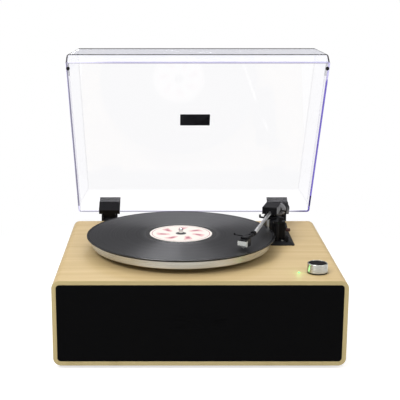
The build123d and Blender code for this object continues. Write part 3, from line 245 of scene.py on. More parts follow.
def make_piece(name: str, mesh: Mesh, finish: "Finish", body: str) -> Object:
    """Makes a piece of a mesh.

    Args:
        name: the piece's name.
        mesh: its shape.
        finish: what it is made of.
        body: the frame's body that carries it.

    Returns:
        The new object.
    """
    mesh.name = name
    mesh.materials.clear()
    mesh.materials.append(finish.material())
    piece = link(name, mesh)
    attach(piece, body)
    log.info("%s: %d faces on %s", name, len(mesh.polygons), body)
    return piece


def middle(node: str) -> np.ndarray:
    """The middle of a node's box."""
    low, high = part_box(node)
    return (np.array(low) + np.array(high)) / 2


def dress(nodes: list[str], finish: "Finish") -> None:
    """Gives nodes of the frame a finish through their material slots.

    Args:
        nodes: the nodes' names.
        finish: what they are made of.
    """
    for name in nodes:
        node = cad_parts[name]
        if not node.material_slots:
            node.data.materials.append(finish.material())
        for place in node.material_slots:
            place.material = finish.material()
        log.info("%s: %s", name, finish.name)


# Shader trees
class Tree:
    """A node tree that is being filled."""

    def __init__(self, tree: NodeTree) -> None:
        """Starts with an empty tree."""
        self.tree = tree
        tree.nodes.clear()

    def add(self, kind: str, inputs: dict | None = None, **settings: object) -> Node:
        """Adds a node.

        Args:
            kind: Blender's name for the node, without the leading words ShaderNode.
            inputs: a value, a colour or another node's output for each input, by name or number.
            settings: the node's own settings.

        Returns:
            The node.
        """
        node = self.tree.nodes.new(kind if kind.startswith("Node") else "ShaderNode" + kind)
        row, column = divmod(len(self.tree.nodes), 14)
        node.location = (200 * column, -260 * row)
        for key, value in settings.items():
            setattr(node, key, value)
        for key, value in (inputs or {}).items():
            socket = node.inputs[key]
            if isinstance(value, Socket):
                self.tree.links.new(value, socket)
            else:
                socket.default_value = (*value, 1.0) if socket.type == "RGBA" else value
        return node

    def math(self, how: str, a: Value, b: Value = 0.0, c: Value = 0.0) -> Socket:
        """The output of a Math node on up to three values."""
        return self.add("Math", {0: a, 1: b, 2: c}, operation=how).outputs[0]

    def times(self, a: Value, b: Value) -> Socket:
        """Two values multiplied."""
        return self.math("MULTIPLY", a, b)

    def span(self, value: Socket, low: float, high: float, start: float = 0.0, end: float = 1.0) -> Socket:
        """A value carried smoothly from one range to another, and held at its ends."""
        inputs = {0: value, 1: low, 2: high, 3: start, 4: end}
        return self.add("MapRange", inputs, interpolation_type="SMOOTHSTEP").outputs[0]

    def between(self, value: Socket, low: float, full_low: float, full_high: float, high: float) -> Socket:
        """A mask that rises from low to full_low and falls from full_high to high."""
        return self.times(self.span(value, low, full_low), self.span(value, high, full_high))

    def mix(self, share: Value, first: Socket | Rgb, second: Socket | Rgb, how: str = "MIX") -> Socket:
        """Two colours mixed by a share."""
        inputs = {0: share, 6: first, 7: second}
        return self.add("Mix", inputs, data_type="RGBA", blend_type=how).outputs[2]

    def noise(self, place: Socket, scale: Value | Point, detail: float = 3.0, rough: float = 0.55) -> Socket:
        """A noise texture's value.

        Args:
            place: where it is read.
            scale: how fine it is, alike each way or by axis.
            detail: how many finer layers it has.
            rough: how strong those are.

        Returns:
            The value, from 0 to 1.
        """
        if isinstance(scale, tuple):
            place = self.add("VectorMath", {0: place, 1: scale}, operation="MULTIPLY").outputs[0]
            scale = 1.0
        inputs = {"Vector": place, "Scale": scale, "Detail": detail, "Roughness": rough}
        return self.add("TexNoise", inputs).outputs[0]

    def place(self, origin: Point | None = None) -> Socket:
        """The place on the piece, in object coordinates.

        Args:
            origin: the point that it is read from, where that isn't the frame's own.

        Returns:
            The place.
        """
        place = self.add("TexCoord").outputs["Object"]
        if origin is None:
            return place
        return self.add("VectorMath", {0: place, 1: origin}, operation="SUBTRACT").outputs[0]

    def apart(self, place: Socket) -> list[Socket]:
        """A place's three numbers."""
        return list(self.add("SeparateXYZ", {0: place}).outputs)

    def together(self, x: Value, y: Value, z: Value) -> Socket:
        """A place made of three numbers."""
        return self.add("CombineXYZ", {0: x, 1: y, 2: z}).outputs[0]

    def radius(self, x: Socket, y: Socket) -> Socket:
        """The distance from the axis: the root of x squared plus y squared."""
        return self.math("SQRT", self.math("ADD", self.times(x, x), self.times(y, y)))

    def bump(self, height: Socket, depth: float, normal: Socket | None = None) -> Socket:
        """A normal bent by a relief.

        Args:
            height: the relief, from 0 to 1.
            depth: how deep that is in metres.
            normal: the normal that it bends, where that isn't the surface's own.

        Returns:
            The bent normal.
        """
        inputs = {"Height": height, "Distance": depth, "Strength": 1.0}
        if normal is not None:
            inputs["Normal"] = normal
        return self.add("Bump", inputs).outputs[0]

    def group(self, tree: NodeTree, *given: Value) -> list[Socket]:
        """The outputs of a node group whose inputs are given in order."""
        return list(self.add("Group", dict(enumerate(given)), node_tree=tree).outputs)

    def surface(self, colour: Socket, rough: Value, shine: float = 0.5, **more: Value) -> Socket:
        """A Principled shader.

        Args:
            colour: its base colour.
            rough: its roughness.
            shine: its specular level.
            more: its other inputs by name, with _ for a space.

        Returns:
            The shader.
        """
        inputs = {"Base Color": colour, "Roughness": rough, "Specular IOR Level": shine}
        inputs |= {key.replace("_", " "): value for key, value in more.items()}
        return self.add("BsdfPrincipled", inputs).outputs[0]

    def finish(self, shader: Socket, volume: Socket | None = None) -> None:
        """Ends the material.

        Args:
            shader: its surface.
            volume: what fills it, where light passes.
        """
        output = self.add("OutputMaterial", {"Surface": shader})
        if volume is not None:
            self.tree.links.new(volume, output.inputs["Volume"])


class Effects:
    """Node groups that finishes share, each built at its first use."""

    @staticmethod
    def start(name: str, inputs: dict[str, str], outputs: dict[str, str]) -> tuple[Tree, list[Socket]]:
        """Begins a group with its named sockets.

        Args:
            name: the group's name.
            inputs: the kind of each input socket by name.
            outputs: the kind of each output socket by name.

        Returns:
            The tree to fill, and what its inputs give.
        """
        made = bpy.data.node_groups.new(name, "ShaderNodeTree")
        for way, sockets in (("INPUT", inputs), ("OUTPUT", outputs)):
            for socket, kind in sockets.items():
                made.interface.new_socket(socket, in_out=way, socket_type="NodeSocket" + kind)
        work = Tree(made)
        return work, list(work.add("NodeGroupInput").outputs)

    @staticmethod
    @cache
    def moulded() -> NodeTree:
        """Spark-eroded moulding: fine rounded pits as a height, and a slow mottle for shade and gloss.

        Returns:
            The group, from a place and the pits' scale.
        """
        work, (place, scale, *_) = Effects.start(
            "moulded", {"Place": "Vector", "Pit Scale": "Float"}, {"Height": "Float", "Mottle": "Float"}
        )
        cells = work.add("TexVoronoi", {"Vector": place, "Scale": scale}, feature="SMOOTH_F1").outputs[0]
        height = work.math("MULTIPLY_ADD", work.noise(place, scale, 2.0, 0.5), 0.6, cells)
        work.add("NodeGroupOutput", {0: height, 1: work.noise(place, 60.0, 4.0)})
        return work.tree

    @staticmethod
    @cache
    def soft_edges() -> NodeTree:
        """Corners rounded in the shading, and a mask that is 1 along them.

        Returns:
            The group, from a radius.
        """
        work, (radius, *_) = Effects.start(
            "soft_edges", {"Radius": "Float"}, {"Normal": "Vector", "Edge": "Float"}
        )
        bent = work.add("Bevel", {"Radius": radius}, samples=4).outputs[0]
        plain = work.add("NewGeometry").outputs["True Normal"]
        match = work.add("VectorMath", {0: bent, 1: plain}, operation="DOT_PRODUCT").outputs["Value"]
        work.add("NodeGroupOutput", {0: bent, 1: work.span(match, 0.995, 0.8)})
        return work.tree

    @staticmethod
    @cache
    def turning() -> NodeTree:
        """Lathe marks: noise read at the radius and height, so that it runs round an axis.

        Returns:
            The group, from a place and how fine the marks are outwards and upwards.
        """
        work, (place, radial, upright, *_) = Effects.start(
            "turning",
            {"Place": "Vector", "Radial Scale": "Float", "Height Scale": "Float"},
            {"Height": "Float", "Streak": "Float"},
        )
        x, y, z = work.apart(place)
        angle = work.times(work.math("ARCTAN2", y, x), 0.6)
        spot = work.together(work.times(work.radius(x, y), radial), work.times(z, upright), angle)
        work.add("NodeGroupOutput", {0: work.noise(spot, 1.0, 4.0, 0.7), 1: work.noise(spot, 0.3, 2.0)})
        return work.tree

    @staticmethod
    @cache
    def weave() -> NodeTree:
        """Plain weave: crowned threads at a pitch across and up, the upper one chosen by a chessboard.

        Returns:
            The group, from the way across, the way up and the pitch.
        """
        work, (across, up, pitch, *_) = Effects.start(
            "weave",
            {"Across": "Float", "Up": "Float", "Pitch": "Float"},
            {"Height": "Float", "Thread": "Float"},
        )
        u, v = (work.math("DIVIDE", way, pitch) for way in (across, up))
        crowns = [work.math("ABSOLUTE", work.math("SINE", work.times(t, TURN / 2))) for t in (u, v)]
        waves = [work.math("SINE", work.times(t, TURN)) for t in (u, v)]
        over = work.math("MULTIPLY_ADD", work.times(*waves), 0.5, 0.5)
        first = work.times(crowns[0], over)
        second = work.times(crowns[1], work.math("SUBTRACT", 1.0, over))
        thread = work.noise(work.together(work.times(u, 0.05), v, 0.0), 1.0, 3.0)
        work.add("NodeGroupOutput", {0: work.math("MAXIMUM", first, second), 1: thread})
        return work.tree


# Finishes
def shade(colour: Rgb, share: float, more: float = 0.0) -> Rgb:
    """A colour multiplied by a share, with a little more added, and held to one."""
    return tuple(min(1.0, c * share + more) for c in colour)


@dataclass(frozen=True)
class Finish:
    """What a piece is made of. Each kind fills its own tree."""

    name: str

    def material(self) -> Material:
        """Makes the material at the first call.

        Returns:
            The material.
        """
        made = bpy.data.materials.get("finish_" + self.name)
        if made is None:
            made = bpy.data.materials.new("finish_" + self.name)
            made.use_nodes = True
            self.fill(Tree(made.node_tree))
        return made

    def fill(self, tree: Tree) -> None:
        """Fills the tree."""
        raise NotImplementedError


@dataclass(frozen=True)
class Moulding(Finish):
    """Moulded plastic or rubber: fine pits, a slow mottle and a painted highlight on rounded corners."""

    colour: Rgb = (0.008, 0.008, 0.009)
    gloss: float = 0.42
    pits: float = 2600.0
    depth: float = 0.008 * MM
    edge: float = 0.5 * MM
    shine: float = 0.2
    # how much lighter the corners are painted: a painted highlight
    lift: float = 1.6

    def fill(self, tree: Tree) -> None:
        """Pits bend the normal, the mottle varies colour and roughness, and corners get a painted highlight.

        Args:
            tree: the material's tree.
        """
        pits, mottle = tree.group(Effects.moulded(), tree.place(), self.pits)
        bent, corner = tree.group(Effects.soft_edges(), self.edge)
        colour = tree.mix(mottle, shade(self.colour, 0.75), shade(self.colour, 1.2))
        # painted highlight: the corners are mixed towards a lighter colour
        colour = tree.mix(corner, colour, shade(self.colour, self.lift, 0.004))
        rough = tree.span(mottle, 0.3, 0.7, self.gloss * 0.85, self.gloss * 1.15)
        tree.finish(tree.surface(colour, rough, self.shine, Normal=tree.bump(pits, self.depth, bent)))


class Lay(Enum):
    """Which way a metal's tool marks run."""

    ROUND_Z = "round an upright axis"
    PLAIN = "no direction"


@dataclass(frozen=True)
class Metal(Finish):
    """Metal with tool marks round an axis through a centre."""

    colour: Rgb = (0.6, 0.6, 0.6)
    rough: float = 0.25
    lay: Lay = Lay.PLAIN
    centre: Point = (0.0, 0.0, 0.0)
    radial: float = 2500.0
    upright: float = 4000.0
    depth: float = 0.004 * MM
    edge: float = 0.3 * MM
    stretch: float = 0.0

    def fill(self, tree: Tree) -> None:
        """Marks bend the normal and vary the shade and roughness, and highlights may be stretched upright.

        Args:
            tree: the material's tree.
        """
        if self.lay is Lay.PLAIN:
            place = tree.place()
            height, streak = tree.noise(place, 900.0, 5.0), tree.noise(place, 120.0, 3.0)
        else:
            marks = tree.place(self.centre)
            height, streak = tree.group(Effects.turning(), marks, self.radial, self.upright)
        bent, corner = tree.group(Effects.soft_edges(), self.edge)
        colour = tree.mix(streak, shade(self.colour, 0.86), self.colour)
        # painted highlight: the edges are mixed towards a lighter colour
        colour = tree.mix(corner, colour, shade(self.colour, 1.12))
        rough = tree.span(streak, 0.3, 0.7, self.rough * 0.8, self.rough * 1.25)
        more = {"Metallic": 1.0, "Normal": tree.bump(height, self.depth, bent)}
        if self.stretch:
            more |= {"Anisotropic": self.stretch, "Tangent": tree.together(0.0, 0.0, 1.0)}
        tree.finish(tree.surface(colour, rough, **more))


@dataclass(frozen=True)
class Veneer(Finish):
    """Light wood veneer wrapped over the top and down the sides, with its grain along the wrap."""

    front: float = -0.2
    top: float = 0.135
    half: float = 0.215
    light: Rgb = (0.605, 0.455, 0.235)
    dark: Rgb = (0.520, 0.383, 0.190)
    pore: Rgb = (0.40, 0.285, 0.135)
    end_tint: Rgb = (0.93, 1.0, 0.95)
    warps: Point = (3.0, 9.0, 9.0)
    bands: Point = (1.6, 52.0, 52.0)
    streaks: Point = (7.0, 460.0, 460.0)
    pores: Point = (90.0, 1500.0, 1500.0)

    def fill(self, tree: Tree) -> None:
        """Grain is noise stretched along the wrap: X across the top, with the drop added down the sides.

        The cut ends at the front are a little greener.

        Args:
            tree: the material's tree.
        """
        x, y, z = tree.apart(tree.place())
        down = tree.math("SUBTRACT", self.top, z)
        reach = tree.math("ABSOLUTE", x)
        along = tree.times(tree.math("SIGN", x), tree.math("ADD", reach, down))
        under = tree.math("MINIMUM", down, tree.math("SUBTRACT", self.half, reach))
        warp = tree.times(tree.noise(tree.together(along, y, under), self.warps, 2.0), 0.02)
        bent = tree.together(along, tree.math("ADD", y, warp), under)
        figure = tree.span(tree.noise(bent, self.bands, 4.0, 0.6), 0.3, 0.72)
        fine = tree.span(tree.noise(bent, self.streaks, 4.0, 0.6), 0.35, 0.7)
        open_pore = tree.span(tree.noise(bent, self.pores, 2.0, 0.6), 0.62, 0.72)
        colour = tree.mix(figure, self.light, self.dark)
        colour = tree.mix(tree.times(fine, 0.35), colour, self.dark)
        colour = tree.mix(tree.times(open_pore, 0.45), colour, self.pore)
        rounded, corner = tree.group(Effects.soft_edges(), 0.7 * MM)
        # painted highlight: the rounded edges are mixed a little towards the light wood colour
        colour = tree.mix(tree.times(corner, 0.3), colour, self.light)
        cut_end = tree.span(y, self.front + 1.2 * MM, self.front + 0.4 * MM)
        colour = tree.mix(cut_end, colour, self.end_tint, "MULTIPLY")
        height = tree.math("SUBTRACT", tree.times(fine, 0.4), open_pore)
        rough = tree.span(figure, 0.0, 1.0, 0.42, 0.52)
        tree.finish(tree.surface(colour, rough, 0.35, Normal=tree.bump(height, 0.03 * MM, rounded)))


@dataclass(frozen=True)
class SpeakerCloth(Finish):
    """Tight plain-woven cloth, read across and up the front."""

    colour: Rgb = (0.003, 0.003, 0.0033)
    pitch: float = 0.9 * MM

    def fill(self, tree: Tree) -> None:
        """The weave bends the normal, threads vary in shade, and painted shade darkens the gaps between them.

        Args:
            tree: the material's tree.
        """
        x, _, z = tree.apart(tree.place())
        woven, thread = tree.group(Effects.weave(), x, z, self.pitch)
        crown = tree.mix(thread, shade(self.colour, 0.6), shade(self.colour, 1.5))
        # painted shade: the low places between the threads are a quarter as bright
        colour = tree.mix(tree.span(woven, 0.1, 0.6), shade(self.colour, 0.25), crown)
        tree.finish(tree.surface(colour, 0.9, 0.05, Normal=tree.bump(woven, 0.2 * MM)))


@dataclass(frozen=True)
class Felt(Finish):
    """Pressed felt of crossing fibres."""

    colour: Rgb = (0.012, 0.012, 0.013)

    def fill(self, tree: Tree) -> None:
        """Fibres are noise stretched two ways, the larger of which shows.

        Args:
            tree: the material's tree.
        """
        place = tree.place()
        one = tree.noise(place, (300.0, 2400.0, 1200.0))
        two = tree.noise(place, (2400.0, 300.0, 1200.0))
        fibre = tree.math("MAXIMUM", one, two)
        colour = tree.mix(tree.span(fibre, 0.45, 0.75), self.colour, shade(self.colour, 2.6))
        tree.finish(tree.surface(colour, 0.95, 0.1, Normal=tree.bump(fibre, 0.3 * MM)))


@dataclass(frozen=True)
class Vinyl(Finish):
    """Pressed vinyl: fine grooves round the spindle, quiet bands between tracks and a smooth edge."""

    centre: Point = (0.0, 0.0, 0.0)
    colour: Rgb = (0.006, 0.006, 0.0065)
    # quiet: the colour of the ring nearest the label, painted lighter as a painted sheen
    quiet: Rgb = (0.03, 0.03, 0.03)
    pitch: float = 0.55 * MM
    inner: float = 57.0 * MM
    outer: float = 146.8 * MM
    fade: float = 0.6 * MM

    def fill(self, tree: Tree) -> None:
        """The groove is a sine of the radius; its loudness, a noise of the radius, varies depth and gloss.

        Args:
            tree: the material's tree.
        """
        x, y, _ = tree.apart(tree.place(self.centre))
        radius = tree.radius(x, y)
        wave = tree.math("SINE", tree.times(radius, TURN / self.pitch))
        cut = tree.between(radius, self.inner, self.inner + self.fade, self.outer - self.fade, self.outer)
        loud = tree.noise(tree.together(tree.times(radius, 260.0), 0.0, 0.0), 1.0, 4.0, 0.7)
        depth = tree.times(cut, tree.span(loud, 0.25, 0.75, 0.45, 1.0))
        height = tree.times(tree.math("MULTIPLY_ADD", wave, 0.5, 0.5), depth)
        # painted sheen: deeper grooves are painted lighter, and the ring nearest the label lighter still
        colour = tree.mix(depth, self.colour, shade(self.colour, 1.6))
        ring = tree.span(radius, self.inner + 7.0 * MM, self.inner + 4.0 * MM)
        colour = tree.mix(ring, colour, self.quiet)
        rough = tree.math("ADD", 0.16, tree.times(depth, 0.22))
        outward = tree.together(tree.math("DIVIDE", x, radius), tree.math("DIVIDE", y, radius), 0.0)
        bent = tree.bump(height, 0.004 * MM)
        tree.finish(tree.surface(colour, rough, 0.4, Normal=bent, Anisotropic=0.85, Tangent=outward))


@dataclass(frozen=True)
class PrintedLabel(Finish):
    """Cream paper with a plain wreath of soft rose petals and a dark ring at the hole."""

    centre: Point = (0.0, 0.0, 0.0)
    paper: Rgb = (0.80, 0.755, 0.69)
    rose: Rgb = (0.42, 0.15, 0.19)
    blush: Rgb = (0.70, 0.42, 0.42)
    ink: Rgb = (0.05, 0.045, 0.05)
    petals: float = 7.0

    def fill(self, tree: Tree) -> None:
        """Petals are where a cosine of seven times the angle plus the radius is high between two radii.

        Args:
            tree: the material's tree.
        """
        x, y, _ = tree.apart(tree.place(self.centre))
        radius = tree.radius(x, y)
        fibre = tree.noise(tree.place(), 900.0, 4.0)
        swirl = tree.math("MULTIPLY_ADD", tree.math("ARCTAN2", y, x), self.petals, tree.times(radius, 70.0))
        wreath = tree.math("COSINE", swirl)
        petal = tree.times(tree.span(wreath, 0.05, 0.45), tree.between(radius, 0.017, 0.021, 0.036, 0.041))
        heart = tree.times(tree.span(wreath, 0.6, 0.9), tree.between(radius, 0.022, 0.026, 0.031, 0.036))
        colour = tree.mix(tree.times(fibre, 0.25), self.paper, shade(self.paper, 0.85))
        colour = tree.mix(petal, colour, self.blush)
        colour = tree.mix(heart, colour, self.rose)
        colour = tree.mix(tree.between(radius, 0.0455, 0.0459, 0.0466, 0.0470), colour, self.rose)
        colour = tree.mix(tree.span(radius, 0.0088, 0.0082), colour, self.ink)
        tree.finish(tree.surface(colour, 0.55, 0.3, Normal=tree.bump(fibre, 0.02 * MM)))


@dataclass(frozen=True)
class Acrylic(Finish):
    """Clear cast acrylic: light passes, long ways through it turn violet-blue, its rim has painted colour and
    glow.
    """

    hinge: Point = (0.0, 0.0, 0.0)
    opened: float = 59.2
    half: float = 206.0 * MM
    rim: float = 2.9 * MM
    front: float = -330.0 * MM
    index: float = 1.3
    tint: Rgb = (0.45, 0.35, 0.88)
    density: float = 6.0
    # violet, grey and the two glows are painted light on the rim; band is the front wall's faint blue-grey
    violet: Rgb = (0.045, 0.028, 0.26)
    grey: Rgb = (0.85, 0.85, 0.90)
    band: Rgb = (0.95, 0.955, 0.98)
    pale_glow: Rgb = (0.34, 0.33, 0.42)
    deep_glow: Rgb = (0.03, 0.02, 0.12)
    clear: Rgb = (0.95, 0.95, 0.97)

    def fill(self, tree: Tree) -> None:
        """Glass with faint waviness and absorption, a painted colour and glow on the rim, and a faint
        blue-grey band along the front wall.

        Places are turned back by the open angle round the hinge, so that the rim is where the height is
        least. The rim's colour and emitted glow are painted light: violet on the right and in front, paler on
        the left and grey at the back. Lamps, soft light and what other pieces mirror pass the cover as
        through a clear pane.

        Args:
            tree: the material's tree.
        """
        x, y, z = tree.apart(tree.place(self.hinge))
        sine, cosine = math.sin(math.radians(self.opened)), math.cos(math.radians(self.opened))
        back = tree.math("SUBTRACT", tree.times(y, cosine), tree.times(z, sine))
        up = tree.math("ADD", tree.times(y, sine), tree.times(z, cosine))
        low = tree.span(up, self.rim + 1.2 * MM, self.rim + 0.4 * MM)
        rear = tree.span(back, -35.0 * MM, -22.0 * MM)
        ahead = tree.span(back, self.front + 25.0 * MM, self.front + 15.0 * MM)
        side = tree.span(x, -self.half * 0.9, -self.half * 0.6, 0.3, 1.0)
        corner = tree.times(rear, tree.span(x, self.half * 0.97, self.half * 0.8))
        share = tree.times(side, tree.math("SUBTRACT", 1.0, corner))
        share = tree.times(share, tree.span(ahead, 0.0, 1.0, 1.0, 0.6))
        # painted light: the rim's colour and emitted glow change by side, violet right and in front, paler
        # left, grey behind
        colour = tree.mix(low, tree.mix(ahead, WHITE, self.band), tree.mix(share, self.grey, self.violet))
        glow = tree.mix(low, BLACK, tree.mix(share, self.pale_glow, self.deep_glow))
        place = tree.place()
        haze = tree.span(tree.noise(place, 300.0), 0.5, 0.9, 0.0, 0.05)
        shader = tree.surface(
            colour, haze, IOR=self.index, Transmission_Weight=1.0, Emission_Color=glow, Emission_Strength=1.0,
            Normal=tree.bump(tree.noise(place, 9.0, 2.0), 0.2 * MM),
        )
        rays = tree.add("LightPath").outputs
        outside = tree.times(rays["Is Glossy Ray"], tree.math("LESS_THAN", rays["Transmission Depth"], 0.5))
        soft = tree.math("MAXIMUM", rays["Is Diffuse Ray"], outside)
        passing = tree.math("MAXIMUM", rays["Is Shadow Ray"], soft)
        pane = tree.add("BsdfTransparent", {0: self.clear}).outputs[0]
        mixed = tree.add("MixShader", {0: passing, 1: shader, 2: pane})
        absorb = tree.add("VolumeAbsorption", {"Color": self.tint, "Density": self.density})
        tree.finish(mixed.outputs[0], absorb.outputs[0])


@dataclass(frozen=True)
class Lens(Finish):
    """A lit lens, brightest at its crown."""

    colour: Rgb = (0.10, 0.85, 0.22)
    bright: Rgb = (0.55, 1.0, 0.6)
    top: float = 136.3 * MM

    def fill(self, tree: Tree) -> None:
        """The glow grows with the height above the deck.

        Args:
            tree: the material's tree.
        """
        place = tree.place()
        crown = tree.span(tree.apart(place)[2], self.top - 1.2 * MM, self.top)
        base = tree.mix(tree.noise(place, 1500.0, 2.0), shade(self.colour, 0.6), self.colour)
        glow = tree.mix(crown, self.colour, self.bright)
        tree.finish(tree.surface(base, 0.2, Emission_Color=glow, Emission_Strength=1.0))


@dataclass(frozen=True)
class CircuitBoard(Finish):
    """Solder mask over copper tracks on a square grid."""

    colour: Rgb = (0.02, 0.10, 0.04)
    grid: Point = (2.0 * MM, 2.0 * MM, 2.0 * MM)

    def fill(self, tree: Tree) -> None:
        """Tracks are where a coarse noise, read in square steps, is near its middle.

        Args:
            tree: the material's tree.
        """
        steps = tree.add("VectorMath", {0: tree.place(), 1: self.grid}, operation="SNAP").outputs[0]
        track = tree.span(tree.noise(steps, 60.0, 2.0), 0.48, 0.5)
        colour = tree.mix(track, self.colour, shade(self.colour, 2.2))
        tree.finish(tree.surface(colour, 0.35, Normal=tree.bump(track, 0.03 * MM)))


# Sub-assemblies
@dataclass(frozen=True)
class ScrewSize:
    """A screw's head radius and height, and its shank's radius and length, in millimetres."""

    head: float
    rise: float
    shank: float
    length: float


@dataclass
class Screws:
    """Round-headed screws with a cross recess, in the case and in the drive."""

    segments: int = 48
    steps: int = 12
    recess: float = 0.42
    arm: float = 0.14
    deep: float = 0.55
    foot: ScrewSize = ScrewSize(4.0, 1.4, 1.8, 3.4)
    foot_at: Point = (173.0 * MM, 136.0 * MM, 1.6 * MM)
    panel: ScrewSize = ScrewSize(3.4, 1.6, 1.7, 5.0)
    panel_inset: float = 2.0 * MM
    panel_side: float = 203.0 * MM
    panel_rise: float = 52.8 * MM
    panel_middle: float = 70.0 * MM
    socket: ScrewSize = ScrewSize(2.6, 1.4, 1.3, 1.6)
    socket_x: float = 120.0 * MM
    socket_side: float = 44.0 * MM
    socket_out: float = 1.6 * MM
    hinge: ScrewSize = ScrewSize(3.4, 2.0, 1.8, 3.0)
    hinge_side: float = 151.0 * MM
    hinge_out: float = 3.0 * MM
    hinge_heights: tuple[float, float] = (113.0 * MM, 101.0 * MM)
    bearing: ScrewSize = ScrewSize(2.8, 1.5, 1.5, 2.0)
    bearing_angles: tuple[float, ...] = (90, 210, 330)
    bearing_ring: float = 15.0 * MM
    bearing_z: float = 137.0 * MM
    motor: ScrewSize = ScrewSize(4.0, 1.8, 1.7, 6.0)
    motor_side: float = 24.0 * MM
    motor_z: float = 117.0 * MM

    def screw(self, size: ScrewSize) -> Surface:
        """One screw, head up, its seat at the origin.

        The head's height falls as the square of the radius, and a cross of two bars is sunk into it: the
        recess is where the radius is small and either coordinate is within the bar.

        Args:
            size: its radii and lengths.

        Returns:
            The closed skin.
        """
        head, rise, shank, length = (v * MM for v in (size.head, size.rise, size.shank, size.length))
        radii = np.linspace(head, 0, self.steps + 1)
        dome = rise * (1 - 0.75 * (radii / head) ** 2)
        dome[0] = rise * 0.12
        outline = [(0, -length), (shank, -length), (shank, 0), (head, 0)]
        profile = np.concatenate([outline, np.stack([radii, dome], -1)])
        a = np.arange(self.segments) * TURN / self.segments
        r = profile[1:-1, :1]
        within = np.minimum(np.abs(r * np.cos(a)), np.abs(r * np.sin(a)))
        bars = np.clip((self.arm * head - within) / (0.08 * head), 0, 1)
        reach = np.clip((self.recess * head * 1.4 - r) / (0.1 * head), 0, 1)
        on_top = (np.arange(len(profile) - 2) > 3)[:, None]
        return turned(profile, self.segments, lift=-self.deep * rise * bars * reach * on_top)

    def build(self) -> None:
        """Makes the case's screws and the drive's screws."""
        low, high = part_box("cabinet_shell")
        back, centre_y = high[1], (low[1] + high[1]) / 2
        foot_x, foot_y, foot_z = self.foot_at
        outer = back - self.panel_inset
        sides = (-1, 1)
        spots = [
            (self.foot, (a * foot_x, centre_y + b * foot_y, foot_z), DOWN) for a in sides for b in sides
        ]
        spots += [
            (self.panel, (a * self.panel_side, outer, self.panel_middle + b * self.panel_rise), REARWARD)
            for a in (-1, 0, 1) for b in sides
        ]
        for a in sides:
            x = self.socket_x + a * self.socket_side
            spots.append((self.socket, (x, outer + self.socket_out, self.panel_middle), REARWARD))
            for z in self.hinge_heights:
                spots.append((self.hinge, (a * self.hinge_side, back + self.hinge_out, z), REARWARD))
        self.fit("case_screw", spots)

        x, y, _ = middle("spindle")
        spots = []
        for a in map(math.radians, self.bearing_angles):
            place = (x + self.bearing_ring * math.cos(a), y + self.bearing_ring * math.sin(a), self.bearing_z)
            spots.append((self.bearing, place, UP))
        x, y, _ = middle("motor_body")
        spots += [(self.motor, (x + a * self.motor_side, y, self.motor_z), DOWN) for a in sides]
        self.fit("drive_screw", spots)

    def fit(self, kind: str, spots: list[tuple[ScrewSize, Point, Point]]) -> None:
        """Makes one piece of several screws, which stands for the frame's plain ones.

        Args:
            kind: the start of the piece's name and of the node's name.
            spots: each screw's size, seat and direction.
        """
        steel = Metal("screw_steel", (0.42, 0.42, 0.43), 0.3)
        skin = joined([self.screw(size).placed(place, along) for size, place, along in spots])
        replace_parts(make_piece(kind + "_heads", skin.mesh(), steel, "cabinet"), kind + "s")


@dataclass
class Case:
    """The veneered case with its rear panel, feet and sockets."""

    ring_radius: float = 2.4 * MM
    ring_thickness: float = 0.75 * MM
    ring_inset: float = 0.2 * MM
    socket_half: float = 6.0 * MM

    def build(self) -> None:
        """Dresses the case and adds the coloured rings of the phono sockets."""
        dress(["cabinet_shell"], Veneer("beech_veneer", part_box("cabinet_shell")[0][1]))
        dress(["rear_panel", "front_baffle"], Moulding("black_board", (0.02, 0.019, 0.018), 0.6, 1400.0))
        dress(["rubber_feet"], Moulding("foot_rubber", (0.015, 0.015, 0.015), 0.75, 900.0, shine=0.25))
        dress(["socket_plate", "aux_socket", "power_inlet"], Moulding("socket_plastic", gloss=0.35))
        dress(["phono_sockets"], Metal("socket_nickel", (0.62, 0.60, 0.56), 0.22))
        self.colour_rings()

    def colour_rings(self) -> None:
        """A red and a white insulating ring inside the mouths of the phono sockets, each a small round tyre.

        A circle of the ring's thickness is carried round the socket's axis.
        """
        low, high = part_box("phono_sockets")
        a = np.linspace(0, TURN, 13)[:-1]
        tyre = self.ring_thickness * np.stack([np.cos(a), np.sin(a)], -1) + [self.ring_radius, 0.0]
        rings = (
            ("red", low[0] + self.socket_half, (0.45, 0.02, 0.02)),
            ("white", high[0] - self.socket_half, (0.75, 0.75, 0.73)),
        )
        for word, x, colour in rings:
            place = (x, high[1] - self.ring_inset, (low[2] + high[2]) / 2)
            skin = turned(tyre, 40, closed=True).placed(place, REARWARD)
            # painted highlight: lift sets how much lighter the ring's corners are painted
            finish = Moulding(word + "_insulator", colour, 0.35, lift=1.05)
            make_piece(f"socket_ring_{word}", skin.mesh(), finish, "cabinet")


